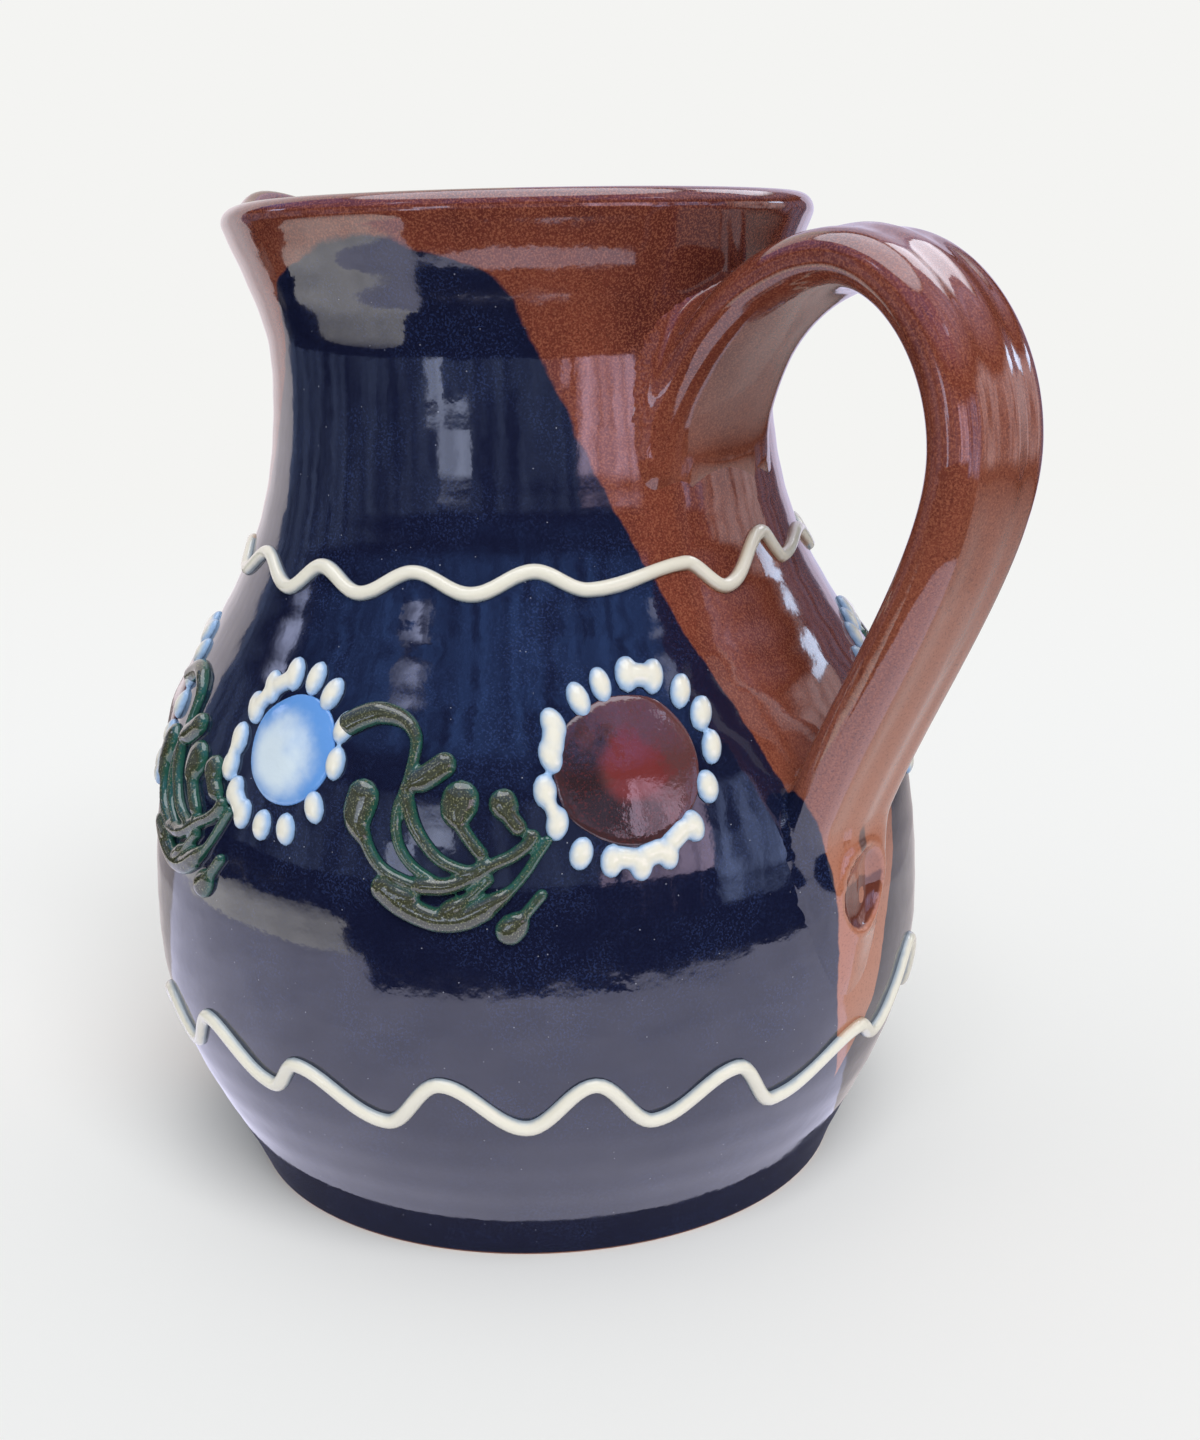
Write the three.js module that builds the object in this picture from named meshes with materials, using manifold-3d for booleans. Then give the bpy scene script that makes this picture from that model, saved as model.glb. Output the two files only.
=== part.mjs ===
// An earthenware jug: a thrown body, a pulled strap handle pressed on at neck and belly, and
// ornament of liquid clay trailed on the skin. Millimetres, +Z up, the origin in the middle of
// the foot, the handle towards +X and the pouring lip towards -X.
import * as THREE from 'three';
import { mergeVertices } from 'three/addons/utils/BufferGeometryUtils.js';
import Module from 'manifold-3d';

// Gap between two pieces that touch
const SEAT_GAP = 0.3;

// Thrown body: heights above the foot, radii from the axis
const RIM_HEIGHT = 180.4;
const RIM_RADIUS = 53.8;
const NECK_BELOW_RIM = 29.4;
const NECK_RADIUS = 46.2;
const BELLY_HEIGHT = 50.7;
const BELLY_RADIUS = 74.1;
const FOOT_RADIUS = 57.6;
const FOOT_EDGE = 0.8;
const WALL = 5;
const FLOOR = 8;
const FLOOR_CORNER = 16;
const LIP_THICKNESS = 5.6;
const LIP_PROUD = 0.8;
const LIP_UNDERCUT = THREE.MathUtils.degToRad(36);
const NECK_HEIGHT = RIM_HEIGHT - NECK_BELOW_RIM;

// How full each stretch of the body's outline is, as a share of that stretch's height
const FOOT_PULL = 0.3;
const BELLY_PULL_DOWN = 0.48;
const BELLY_PULL_UP = 0.585;
const NECK_PULL_DOWN = 0.5;
const NECK_PULL_UP = 0.37;
const RIM_PULL = 0.15;
const FOOT_FLARE = 0.36;
const RIM_FLARE = 0.33;

// Pouring lip, pulled out of the rim opposite the handle, a little off by hand
const SPOUT_ANGLE = THREE.MathUtils.degToRad(-176);
const SPOUT_REACH = 15.5;
const SPOUT_RISE = 4.6;
const SPOUT_BELOW_RIM = 48.4;
const SPOUT_SPREAD = THREE.MathUtils.degToRad(22);
const SPOUT_TIP_SPREAD = THREE.MathUtils.degToRad(13);
const SPOUT_PINCH = 0.6;
const SPOUT_PINCH_ANGLE = THREE.MathUtils.degToRad(46);
const SPOUT_START = RIM_HEIGHT - SPOUT_BELOW_RIM;

// Strap handle: its middle line springs from the neck, crests, reaches out past the belly and
// runs down into a tongue smeared on the belly
const HANDLE_ROOT_BELOW_RIM = 22.4;
const HANDLE_CREST_OUT = 29;
const HANDLE_CREST_RISE = 10.9;
const HANDLE_REACH = 23.6;
const HANDLE_REACH_DROP = 28.9;
const HANDLE_FOOT_HEIGHT = 78;
const THUMB_BELOW_FOOT = 16;
const TONGUE_BELOW_THUMB = 15;
const HANDLE_WIDTH = 27;
const HANDLE_ROOT_WIDTH = 31;
const HANDLE_FOOT_WIDTH = 28;
const TONGUE_END_WIDTH = 13;
const HANDLE_THICKNESS = 10.5;
const HANDLE_ROOT_FILLET = 12;
const HANDLE_BURIED = 10;
const TONGUE_PROUD = 3;

// Slopes of the strap's middle line, and how full its bends are as a share of each stretch
const ROOT_CLIMB = 0.35;
const FOOT_FALL = 0.43;
const STRAP_FULLNESS = 0.53;
const STRAP_LEAD = 0.35;
const REACH_LEAD = 0.27;
const SECTION_ROUNDING = 0.75;
const GROOVE_DEPTH = 0.7;
const GROOVE_OFFSET = 5.2;
const GROOVE_WIDTH = 4.2;
const THUMB_WIDTH = 13;
const THUMB_LENGTH = 14;
const THUMB_DEPTH = 2.2;
const HANDLE_ROOT_HEIGHT = RIM_HEIGHT - HANDLE_ROOT_BELOW_RIM;
const THUMB_HEIGHT = HANDLE_FOOT_HEIGHT - THUMB_BELOW_FOOT;
const TONGUE_END_HEIGHT = THUMB_HEIGHT - TONGUE_BELOW_THUMB;

// White lines trailed round the shoulder and the lower belly
const UPPER_WAVE = { swing: 1.9, waves: 16, drift: 0.9 };
const LOWER_WAVE = { swing: 3.9, waves: 18, drift: 0 };
const UPPER_WAVE_ABOVE_PETALS = 7.5;
const LOWER_WAVE_BELOW_TONGUE = 6.4;
const DRIFT_TURN = THREE.MathUtils.degToRad(70);
const TRAIL_WIDTH = 3;
const TRAIL_LIFT = 1.4;

// Flower panels: three flowers on each side of the jug with a leaf spray between neighbours
const FLOWER_HEIGHT = 90;
const BLUE_FLOWER_RAISE = 2;
const SPRAY_BELOW_FLOWERS = 6.5;
const SPRAY_ROOM = 26.2;
const PANEL_TO_HANDLE = 7.7;
const RED_CENTRE_RADIUS = 11.7;
const BLUE_CENTRE_RADIUS = 9.4;
const CENTRE_LIFT = 1.2;
const CENTRE_CROWN = 0.6;
const PETAL_LENGTH = 5.5;
const PETAL_WIDTH = 4.7;
const PETAL_PITCH = 4.4;
const PETAL_LIFT = 1.6;
const PETALS_IN_RUN = 3;
const RUN_CLEARANCE = 1.8;

// Strokes of one leaf spray. Points are mm across and up from the middle of the room between two
// flowers, widths are at the start and at the end of the stroke, which has tapered from one to the
// other after a share of its length.
const SPRAY_LIFT = 1.5;
const STROKE_TAPER = 0.6;
const SPRAY_STEMS = [
  {
    points: [[-10.5, 16.5], [-5, 14.8], [-4.2, 9.5], [-6.4, 1], [-4.5, -6.5], [0, -9.6]],
    widths: [3.4, 2],
    steps: 14,
  },
  { points: [[-5.4, 5], [1.6, 9.8]], widths: [2, 3.8], steps: 5 },
  { points: [[-5.6, 3.4], [-3, -2], [1.5, -6.6], [8, -6.6]], widths: [1.8, 2.2], steps: 8 },
  { points: [[-2, -10.3], [6, -8.8], [13.6, -4.4]], widths: [2.6, 1.8], steps: 8 },
  { points: [[3.8, 4.2], [3.3, 0.4], [8, -6]], widths: [5.2, 2], steps: 8 },
  { points: [[-12.7, 3.8], [-13.4, -2], [-8.3, -8.6], [-1, -9.8]], widths: [5, 2.2], steps: 9 },
  { points: [[-6.6, -11.8], [-2, -15.6], [5, -16]], widths: [3, 2.4], steps: 6 },
  { points: [[2, -16.2], [8.5, -13.6], [14.8, -7.2]], widths: [2.6, 1.8], steps: 8 },
  { points: [[4.6, -15.6], [4.8, -12], [9, -7.4]], widths: [2, 2], steps: 5 },
];
const SPRAY_BUD = { points: [[9.8, 3.6], [12.9, -2.2]], widths: [3.8, 2], steps: 6 };
const SPRAY_DROP = { points: [[12, -18.4], [16.6, -12]], widths: [4, 1.8], steps: 6 };

// Facets
const BODY_SIDES = 48;
const OUTLINE_STEPS = 19;
const LIP_STEPS = 4;
const HANDLE_SIDES = 20;
const HANDLE_STEPS = 40;
const WAVE_STEPS = 7;
const BEAD_SIDES = 5;
const DOME_SIDES = 20;
const DOME_RINGS = 6;
const PETAL_STEPS = 4;
const SKIN_STEPS = 200;

// Vertices closer than this are one, and slopes are read this far either side, as a share
const WELD_DISTANCE = 1e-3;
const NUDGE = 1e-3;

const { clamp, lerp, smoothstep } = THREE.MathUtils;
const wasm = await Module();
wasm.setup();

// Merges a geometry's shared vertices and drops the triangles that shrank away at a pole
function weld(geometry) {
  geometry.deleteAttribute('normal');
  geometry.deleteAttribute('uv');
  const merged = mergeVertices(geometry, WELD_DISTANCE);
  const corners = merged.index.array;
  const kept = [];
  for (let i = 0; i < corners.length; i += 3) {
    const [a, b, c] = corners.slice(i, i + 3);
    if (a !== b && b !== c && c !== a) kept.push(a, b, c);
  }
  merged.setIndex(kept);
  return merged;
}

function toSolid(geometry) {
  const welded = weld(geometry);
  const vertProperties = new Float32Array(welded.attributes.position.array);
  const triVerts = new Uint32Array(welded.index.array);
  return new wasm.Manifold(new wasm.Mesh({ numProp: 3, vertProperties, triVerts }));
}

function toGeometry(solid) {
  const mesh = solid.getMesh();
  const geometry = new THREE.BufferGeometry();
  geometry.setAttribute('position', new THREE.BufferAttribute(mesh.vertProperties, 3));
  geometry.setIndex(new THREE.BufferAttribute(mesh.triVerts, 1));
  return geometry;
}

// Moves every vertex of a geometry to where place(vertex) puts it
function reshape(geometry, place) {
  const position = geometry.attributes.position;
  const vertex = new THREE.Vector3();
  for (let i = 0; i < position.count; i += 1) {
    vertex.fromBufferAttribute(position, i);
    const placed = place(vertex, i);
    position.setXYZ(i, placed.x, placed.y, placed.z);
  }
  return geometry;
}

// The body's outline from foot to lip, moved inwards by a wall's thickness where one is given
function outlineCurve(inset) {
  const at = (radius, height) => new THREE.Vector2(radius - inset, height);
  const footRun = BELLY_HEIGHT;
  const shoulderRun = NECK_HEIGHT - BELLY_HEIGHT;
  const rimRun = RIM_HEIGHT - NECK_HEIGHT;
  const wallTop = RIM_RADIUS - LIP_PROUD;
  const curve = new THREE.CurvePath();
  curve.add(new THREE.CubicBezierCurve(
    at(FOOT_RADIUS, 0),
    at(FOOT_RADIUS + FOOT_FLARE * FOOT_PULL * footRun, FOOT_PULL * footRun),
    at(BELLY_RADIUS, BELLY_HEIGHT - BELLY_PULL_DOWN * footRun),
    at(BELLY_RADIUS, BELLY_HEIGHT),
  ));
  curve.add(new THREE.CubicBezierCurve(
    at(BELLY_RADIUS, BELLY_HEIGHT),
    at(BELLY_RADIUS, BELLY_HEIGHT + BELLY_PULL_UP * shoulderRun),
    at(NECK_RADIUS, NECK_HEIGHT - NECK_PULL_DOWN * shoulderRun),
    at(NECK_RADIUS, NECK_HEIGHT),
  ));
  curve.add(new THREE.CubicBezierCurve(
    at(NECK_RADIUS, NECK_HEIGHT),
    at(NECK_RADIUS, NECK_HEIGHT + NECK_PULL_UP * rimRun),
    at(wallTop - RIM_FLARE * RIM_PULL * rimRun, RIM_HEIGHT - RIM_PULL * rimRun),
    at(wallTop, RIM_HEIGHT),
  ));
  return curve;
}

// The skin's radius at a height, read off a fine run of points on the outline
const skinPoints = outlineCurve(0).getPoints(SKIN_STEPS);

function skinRadius(height) {
  const next = skinPoints.findIndex((point) => point.y > height);
  const upper = next < 0 ? skinPoints.length - 1 : Math.max(next, 1);
  const [low, high] = [skinPoints[upper - 1], skinPoints[upper]];
  return lerp(low.x, high.x, (height - low.y) / (high.y - low.y));
}

function skinSlope(height) {
  return (skinRadius(height + 1) - skinRadius(height - 1)) / 2;
}

// A point beside a motif's middle: mm across and up along the skin, and lifted off it
function onSkin(middle, across, up, lift) {
  const height = middle.height + up / Math.hypot(1, skinSlope(middle.height));
  const slope = skinSlope(height);
  const outward = lift / Math.hypot(1, slope);
  const radius = skinRadius(height);
  const angle = middle.angle + across / radius;
  const reach = radius + outward;
  return new THREE.Vector3(reach * Math.cos(angle), reach * Math.sin(angle), height - outward * slope);
}

// Pulls a point of the turned body out into the pouring lip
function pullSpout(point) {
  const climb = clamp((point.z - SPOUT_START) / SPOUT_BELOW_RIM, 0, 1);
  const turn = Math.abs(Math.atan2(
    point.y * Math.cos(SPOUT_ANGLE) - point.x * Math.sin(SPOUT_ANGLE),
    point.x * Math.cos(SPOUT_ANGLE) + point.y * Math.sin(SPOUT_ANGLE),
  ));
  const pull = Math.exp(-((turn / SPOUT_SPREAD) ** 2)) * climb ** 2;
  const lift = Math.exp(-((turn / SPOUT_TIP_SPREAD) ** 2)) * climb ** 2;
  const pinch = Math.exp(-(((turn - SPOUT_PINCH_ANGLE) / SPOUT_SPREAD) ** 2)) * climb ** 2;
  const radius = Math.hypot(point.x, point.y);
  const stretch = radius > 0 ? (radius - SPOUT_PINCH * pinch) / radius : 1;
  return new THREE.Vector3(
    point.x * stretch + SPOUT_REACH * pull * Math.cos(SPOUT_ANGLE),
    point.y * stretch + SPOUT_REACH * pull * Math.sin(SPOUT_ANGLE),
    point.z + SPOUT_RISE * lift - SPOUT_PINCH * pinch,
  );
}

// Turns a closed outline round the axis and pulls the pouring lip out of it
function turned(points) {
  const geometry = new THREE.LatheGeometry(points, BODY_SIDES).rotateX(Math.PI / 2);
  return reshape(geometry, pullSpout);
}

// The outside of the body from the foot up to the underside of the lip, grown by a margin
function outsidePoints(margin) {
  const lipFoot = RIM_HEIGHT - LIP_THICKNESS;
  const points = outlineCurve(-margin).getSpacedPoints(OUTLINE_STEPS);
  const wall = points.filter((point) => point.y > 2 * FOOT_EDGE && point.y < lipFoot - FOOT_EDGE);
  const foot = [
    new THREE.Vector2(FOOT_RADIUS + margin - FOOT_EDGE, 0),
    new THREE.Vector2(skinRadius(FOOT_EDGE) + margin, FOOT_EDGE),
  ];
  return [...foot, ...wall, new THREE.Vector2(skinRadius(lipFoot) + margin, lipFoot)];
}

// The rolled lip from its outer underside over the top to the inner wall
function lipPoints(margin) {
  const half = LIP_THICKNESS / 2;
  const lip = new THREE.Path();
  lip.absarc(RIM_RADIUS - half, RIM_HEIGHT - half, half + margin, -LIP_UNDERCUT, Math.PI, false);
  return lip.getSpacedPoints(LIP_STEPS * 2);
}

function insidePoints() {
  const top = RIM_HEIGHT - 2 * LIP_THICKNESS;
  const bendTop = FLOOR + FLOOR_CORNER;
  const points = outlineCurve(WALL).getSpacedPoints(OUTLINE_STEPS).reverse();
  const wall = points.filter((point) => point.y < top && point.y > bendTop);
  const bend = new THREE.QuadraticBezierCurve(
    new THREE.Vector2(skinRadius(bendTop) - WALL, bendTop),
    new THREE.Vector2(skinRadius(FLOOR) - WALL, FLOOR),
    new THREE.Vector2(skinRadius(FLOOR) - WALL - FLOOR_CORNER, FLOOR),
  );
  return [...wall, ...bend.getPoints(LIP_STEPS), new THREE.Vector2(0, FLOOR)];
}

function bodyGeometry() {
  const base = new THREE.Vector2(0, 0);
  return weld(turned([base, ...outsidePoints(0), ...lipPoints(0), ...insidePoints()]));
}

// The filled body, grown by the seat gap, that cuts the handle's ends to shape
function bodyCutter() {
  const outside = [...outsidePoints(SEAT_GAP), ...lipPoints(SEAT_GAP)];
  const base = new THREE.Vector2(0, 0);
  const top = new THREE.Vector2(0, outside.at(-1).y);
  return toSolid(turned([base, ...outside, top]));
}

// The strap's middle line in the plane of the handle: distance from the axis, height
function strapLine() {
  const at = (distance, height) => new THREE.Vector2(distance, height);
  const half = HANDLE_THICKNESS / 2;
  const root = at(skinRadius(HANDLE_ROOT_HEIGHT), HANDLE_ROOT_HEIGHT);
  const crest = at(NECK_RADIUS + HANDLE_CREST_OUT, root.y + HANDLE_CREST_RISE);
  const reach = at(BELLY_RADIUS + HANDLE_REACH, crest.y - HANDLE_REACH_DROP);
  const foot = at(skinRadius(HANDLE_FOOT_HEIGHT), HANDLE_FOOT_HEIGHT);
  const smear = at(skinRadius(THUMB_HEIGHT) + TONGUE_PROUD - half, THUMB_HEIGHT);
  const end = at(skinRadius(TONGUE_END_HEIGHT) - half, TONGUE_END_HEIGHT);
  const buried = at(root.x - HANDLE_BURIED, root.y - HANDLE_BURIED * ROOT_CLIMB);
  const lead = STRAP_LEAD * (crest.x - root.x);
  const drop = reach.y - foot.y;
  const fall = STRAP_LEAD * drop;
  const settle = STRAP_LEAD * (foot.y - smear.y);
  const line = new THREE.CurvePath();
  line.add(new THREE.LineCurve(buried, root));
  line.add(new THREE.CubicBezierCurve(
    root,
    at(root.x + lead, root.y + lead * ROOT_CLIMB),
    at(crest.x - lead, crest.y),
    crest,
  ));
  line.add(new THREE.CubicBezierCurve(
    crest,
    at(lerp(crest.x, reach.x, STRAP_FULLNESS), crest.y),
    at(reach.x, lerp(reach.y, crest.y, STRAP_FULLNESS)),
    reach,
  ));
  line.add(new THREE.CubicBezierCurve(
    reach,
    at(reach.x, reach.y - REACH_LEAD * drop),
    at(foot.x + fall * FOOT_FALL, foot.y + fall),
    foot,
  ));
  line.add(new THREE.CubicBezierCurve(
    foot,
    at(foot.x - settle * FOOT_FALL, foot.y - settle),
    at(smear.x, smear.y + settle),
    smear,
  ));
  line.add(new THREE.QuadraticBezierCurve(smear, at(smear.x, lerp(smear.y, end.y, STRAP_FULLNESS)), end));
  return line;
}

// A value that eases from station to station along the strap
function eased(stations, along) {
  const next = Math.max(1, stations.findIndex(([place]) => place >= along));
  const [from, to] = [stations[next - 1], stations[next]];
  return lerp(from[1], to[1], smoothstep(along, from[0], to[0]));
}

// The strap: a flat oval section with two shallow grooves along its outer face, swept along its line
function strapGeometry() {
  const line = strapLine();
  const lengths = line.getCurveLengths();
  const total = lengths.at(-1);
  const [rootAt, crestAt, reachAt, footAt] = lengths.map((length) => length / total);
  const widths = [
    [0, HANDLE_ROOT_WIDTH],
    [rootAt, HANDLE_ROOT_WIDTH],
    [crestAt, HANDLE_WIDTH],
    [reachAt, HANDLE_WIDTH],
    [footAt, HANDLE_FOOT_WIDTH],
    [1, TONGUE_END_WIDTH],
  ];
  const rounded = (value) => Math.sign(value) * Math.abs(value) ** SECTION_ROUNDING;
  const strap = new THREE.CylinderGeometry(1, 1, 1, HANDLE_SIDES, HANDLE_STEPS);
  return reshape(strap, (vertex) => {
    const along = clamp(0.5 - vertex.y, 0, 1);
    const middle = line.getPointAt(along);
    const ahead = line.getTangentAt(clamp(along, NUDGE, 1 - NUDGE));
    const across = rounded(vertex.x) * eased(widths, along) / 2;
    const groove = Math.exp(-(((Math.abs(across) - GROOVE_OFFSET) / GROOVE_WIDTH * 2) ** 2));
    const near = clamp(1 - (along - rootAt) * total / HANDLE_ROOT_FILLET, 0, 1);
    const fillet = HANDLE_ROOT_FILLET * (1 - Math.sqrt(1 - near * near));
    const face = rounded(vertex.z);
    const outer = face * HANDLE_THICKNESS / 2 - Math.max(0, face) * GROOVE_DEPTH * groove;
    const lift = outer + Math.min(0, face) * fillet;
    return new THREE.Vector3(middle.x - ahead.y * lift, across, middle.y + ahead.x * lift);
  });
}

// The thumb's press in the tongue, where the strap was pushed on to the belly
function thumbGeometry() {
  const press = new THREE.SphereGeometry(1, DOME_SIDES, DOME_RINGS * 2);
  press.scale(THUMB_DEPTH, THUMB_WIDTH / 2, THUMB_LENGTH / 2);
  return press.translate(skinRadius(THUMB_HEIGHT) + TONGUE_PROUD, 0, THUMB_HEIGHT);
}

function handleGeometry() {
  const strap = toSolid(strapGeometry());
  return toGeometry(strap.subtract(bodyCutter()).subtract(toSolid(thumbGeometry())));
}

// A wavy line trailed all the way round the body
function waveGeometry(wave, height) {
  const ring = new THREE.TorusGeometry(1, 0.5, BEAD_SIDES, wave.waves * WAVE_STEPS);
  const uv = ring.attributes.uv;
  return weld(reshape(ring, (vertex, i) => {
    const angle = uv.getX(i) * 2 * Math.PI;
    const section = uv.getY(i) * 2 * Math.PI;
    const drift = wave.drift * (1 + Math.sin(2 * angle + DRIFT_TURN));
    const swing = wave.waves * angle + Math.PI / 2 - drift;
    const rise = wave.swing * wave.waves * Math.cos(swing) / skinRadius(height);
    const side = Math.sin(section) * TRAIL_WIDTH / 2 / Math.hypot(1, rise);
    const lift = SEAT_GAP + Math.max(0, Math.cos(section)) * TRAIL_LIFT;
    return onSkin({ angle, height }, -side * rise, wave.swing * Math.sin(swing) + side, lift);
  }));
}

// A dab of slip with a flat back on the skin
function domeGeometry(middle, radius, height) {
  const ball = new THREE.SphereGeometry(1, DOME_SIDES, DOME_RINGS);
  return weld(reshape(ball, (vertex) => {
    const lift = SEAT_GAP + Math.max(0, vertex.y) ** CENTRE_CROWN * height;
    return onSkin(middle, radius * vertex.x, -radius * vertex.z, lift);
  }));
}

// A bead of slip along a path on the skin, flat on its back and closed at both ends.
// path(along) gives mm across and up, breadth(along) the half width there.
function beadGeometry(middle, path, breadth, height, steps) {
  const bead = new THREE.CylinderGeometry(1, 1, 1, BEAD_SIDES, steps);
  return reshape(bead, (vertex) => {
    const along = clamp(0.5 - vertex.y, 0, 1);
    const here = path(along);
    const ahead = path(Math.min(along + NUDGE, 1)).sub(path(Math.max(along - NUDGE, 0))).normalize();
    const half = breadth(along);
    const side = vertex.x * half;
    const lift = SEAT_GAP + Math.max(0, vertex.z) * Math.min(height, 2 * half);
    return onSkin(middle, here.x - ahead.y * side, here.y + ahead.x * side, lift);
  });
}

// How long one run of petals is along its ring
const RUN_LENGTH = (PETALS_IN_RUN - 1) * PETAL_PITCH + PETAL_WIDTH;

// One run of petals that touch, on the ring round a flower's centre
function petalRunGeometry(middle, ringRadius, startAngle) {
  const place = (along) => along * RUN_LENGTH - PETAL_WIDTH / 2;
  const path = (along) => {
    const angle = startAngle + place(along) / ringRadius;
    return new THREE.Vector2(Math.cos(angle), Math.sin(angle)).multiplyScalar(ringRadius);
  };
  const breadth = (along) => {
    const nearest = clamp(Math.round(place(along) / PETAL_PITCH), 0, PETALS_IN_RUN - 1);
    const off = (place(along) - nearest * PETAL_PITCH) / (PETAL_WIDTH / 2);
    return PETAL_LENGTH / 2 * Math.sqrt(Math.max(0, 1 - off * off));
  };
  return weld(beadGeometry(middle, path, breadth, PETAL_LIFT, PETALS_IN_RUN * PETAL_STEPS));
}

// One stroke of a leaf spray, round at both ends
function strokeGeometry(middle, stroke) {
  const spline = new THREE.SplineCurve(stroke.points.map(([across, up]) => new THREE.Vector2(across, up)));
  const length = spline.getLength();
  const spread = (along) => (1 - Math.cos(Math.PI * along)) / 2;
  const path = (along) => spline.getPointAt(spread(along));
  const breadth = (along) => {
    const half = lerp(...stroke.widths, smoothstep(spread(along), 0, STROKE_TAPER)) / 2;
    const toEnd = Math.min(spread(along), 1 - spread(along)) * length;
    const short = 1 - Math.min(1, toEnd / half);
    return half * Math.sqrt(1 - short * short);
  };
  return beadGeometry(middle, path, breadth, SPRAY_LIFT, stroke.steps);
}

function stemsGeometry(middle) {
  const strokes = SPRAY_STEMS.map((stroke) => toSolid(strokeGeometry(middle, stroke)));
  return toGeometry(strokes.reduce((joined, stroke) => joined.add(stroke)));
}

const DARK_GLAZE = { color: 0x12121f, roughness: 0.12, metalness: 0 };
const BROWN_GLAZE = { color: 0x7d3d28, roughness: 0.15, metalness: 0 };
const WHITE_SLIP = { color: 0xd9d2bd, roughness: 0.2, metalness: 0 };
const RED_SLIP = { color: 0x5c1f1f, roughness: 0.2, metalness: 0 };
const BLUE_SLIP = { color: 0xa9c4e0, roughness: 0.2, metalness: 0 };
const LEAF_SLIP = { color: 0x3c3d22, roughness: 0.2, metalness: 0 };

const jug = new THREE.Group();

function addPiece(name, geometry, finish) {
  geometry.computeVertexNormals();
  const piece = new THREE.Mesh(geometry, new THREE.MeshStandardMaterial(finish));
  piece.name = name;
  jug.add(piece);
}

// A kind of flower: the ring that its petals' middles lie on, its outer edge, and how many runs fit
function flowerKind(height, radius, finish) {
  const ring = radius + SEAT_GAP + PETAL_LENGTH / 2;
  const runs = Math.floor(2 * Math.PI * ring / (RUN_LENGTH + RUN_CLEARANCE));
  return { height, radius, finish, ring, edge: ring + PETAL_LENGTH / 2, runs };
}

const RED_FLOWER = flowerKind(FLOWER_HEIGHT, RED_CENTRE_RADIUS, RED_SLIP);
const BLUE_FLOWER = flowerKind(FLOWER_HEIGHT + BLUE_FLOWER_RAISE, BLUE_CENTRE_RADIUS, BLUE_SLIP);

function addFlower(name, angle, kind) {
  const middle = { angle, height: kind.height };
  addPiece(`${name}_centre`, domeGeometry(middle, kind.radius, CENTRE_LIFT), kind.finish);
  for (let run = 0; run < kind.runs; run += 1) {
    const start = run * 2 * Math.PI / kind.runs;
    addPiece(`${name}_petals_${run + 1}`, petalRunGeometry(middle, kind.ring, start), WHITE_SLIP);
  }
}

function addSpray(name, angle) {
  const middle = { angle, height: FLOWER_HEIGHT - SPRAY_BELOW_FLOWERS };
  addPiece(`${name}_stems`, stemsGeometry(middle), LEAF_SLIP);
  addPiece(`${name}_bud`, weld(strokeGeometry(middle, SPRAY_BUD)), LEAF_SLIP);
  addPiece(`${name}_drop`, weld(strokeGeometry(middle, SPRAY_DROP)), LEAF_SLIP);
}

// One side's panel: red, blue and red flowers in a row, a spray in the room between neighbours.
// Seen from outside, the row runs from the far end on the left to the handle on the right where
// side is -1, and the other way round where it is 1.
function addPanel(name, side) {
  const skin = skinRadius(FLOWER_HEIGHT);
  const first = (HANDLE_FOOT_WIDTH / 2 + PANEL_TO_HANDLE + RED_FLOWER.edge) / skin;
  const pitch = (RED_FLOWER.edge + SPRAY_ROOM + BLUE_FLOWER.edge) / skin;
  const offset = (RED_FLOWER.edge - BLUE_FLOWER.edge) / 2 / skin;
  const middle = side * (first + pitch);
  addFlower(`${name}_flower_1`, middle - pitch, RED_FLOWER);
  addFlower(`${name}_flower_2`, middle, BLUE_FLOWER);
  addFlower(`${name}_flower_3`, middle + pitch, RED_FLOWER);
  addSpray(`${name}_spray_1`, middle - pitch / 2 + offset);
  addSpray(`${name}_spray_2`, middle + pitch / 2 - offset);
}

// The trails keep clear of the petals below them and of the handle's tongue above them
const petalTop = RED_FLOWER.height + RED_FLOWER.edge;
const upperWaveHeight = petalTop + UPPER_WAVE_ABOVE_PETALS + UPPER_WAVE.swing + TRAIL_WIDTH / 2;
const lowerWaveHeight = TONGUE_END_HEIGHT - LOWER_WAVE_BELOW_TONGUE - LOWER_WAVE.swing - TRAIL_WIDTH / 2;

addPiece('jug_body', bodyGeometry(), DARK_GLAZE);
addPiece('handle', handleGeometry(), BROWN_GLAZE);
addPiece('upper_wave_trail', waveGeometry(UPPER_WAVE, upperWaveHeight), WHITE_SLIP);
addPiece('lower_wave_trail', waveGeometry(LOWER_WAVE, lowerWaveHeight), WHITE_SLIP);
addPanel('left', -1);
addPanel('right', 1);

export default jug;
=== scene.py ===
"""An earthenware jug: thrown body, pulled strap handle and trailed slip under a glossy glaze."""
import bisect
import math

import bmesh
import bpy
from bpy.props import FloatProperty, FloatVectorProperty, PointerProperty
from mathutils import Matrix, Vector, noise
from mathutils.geometry import interpolate_bezier


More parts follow.
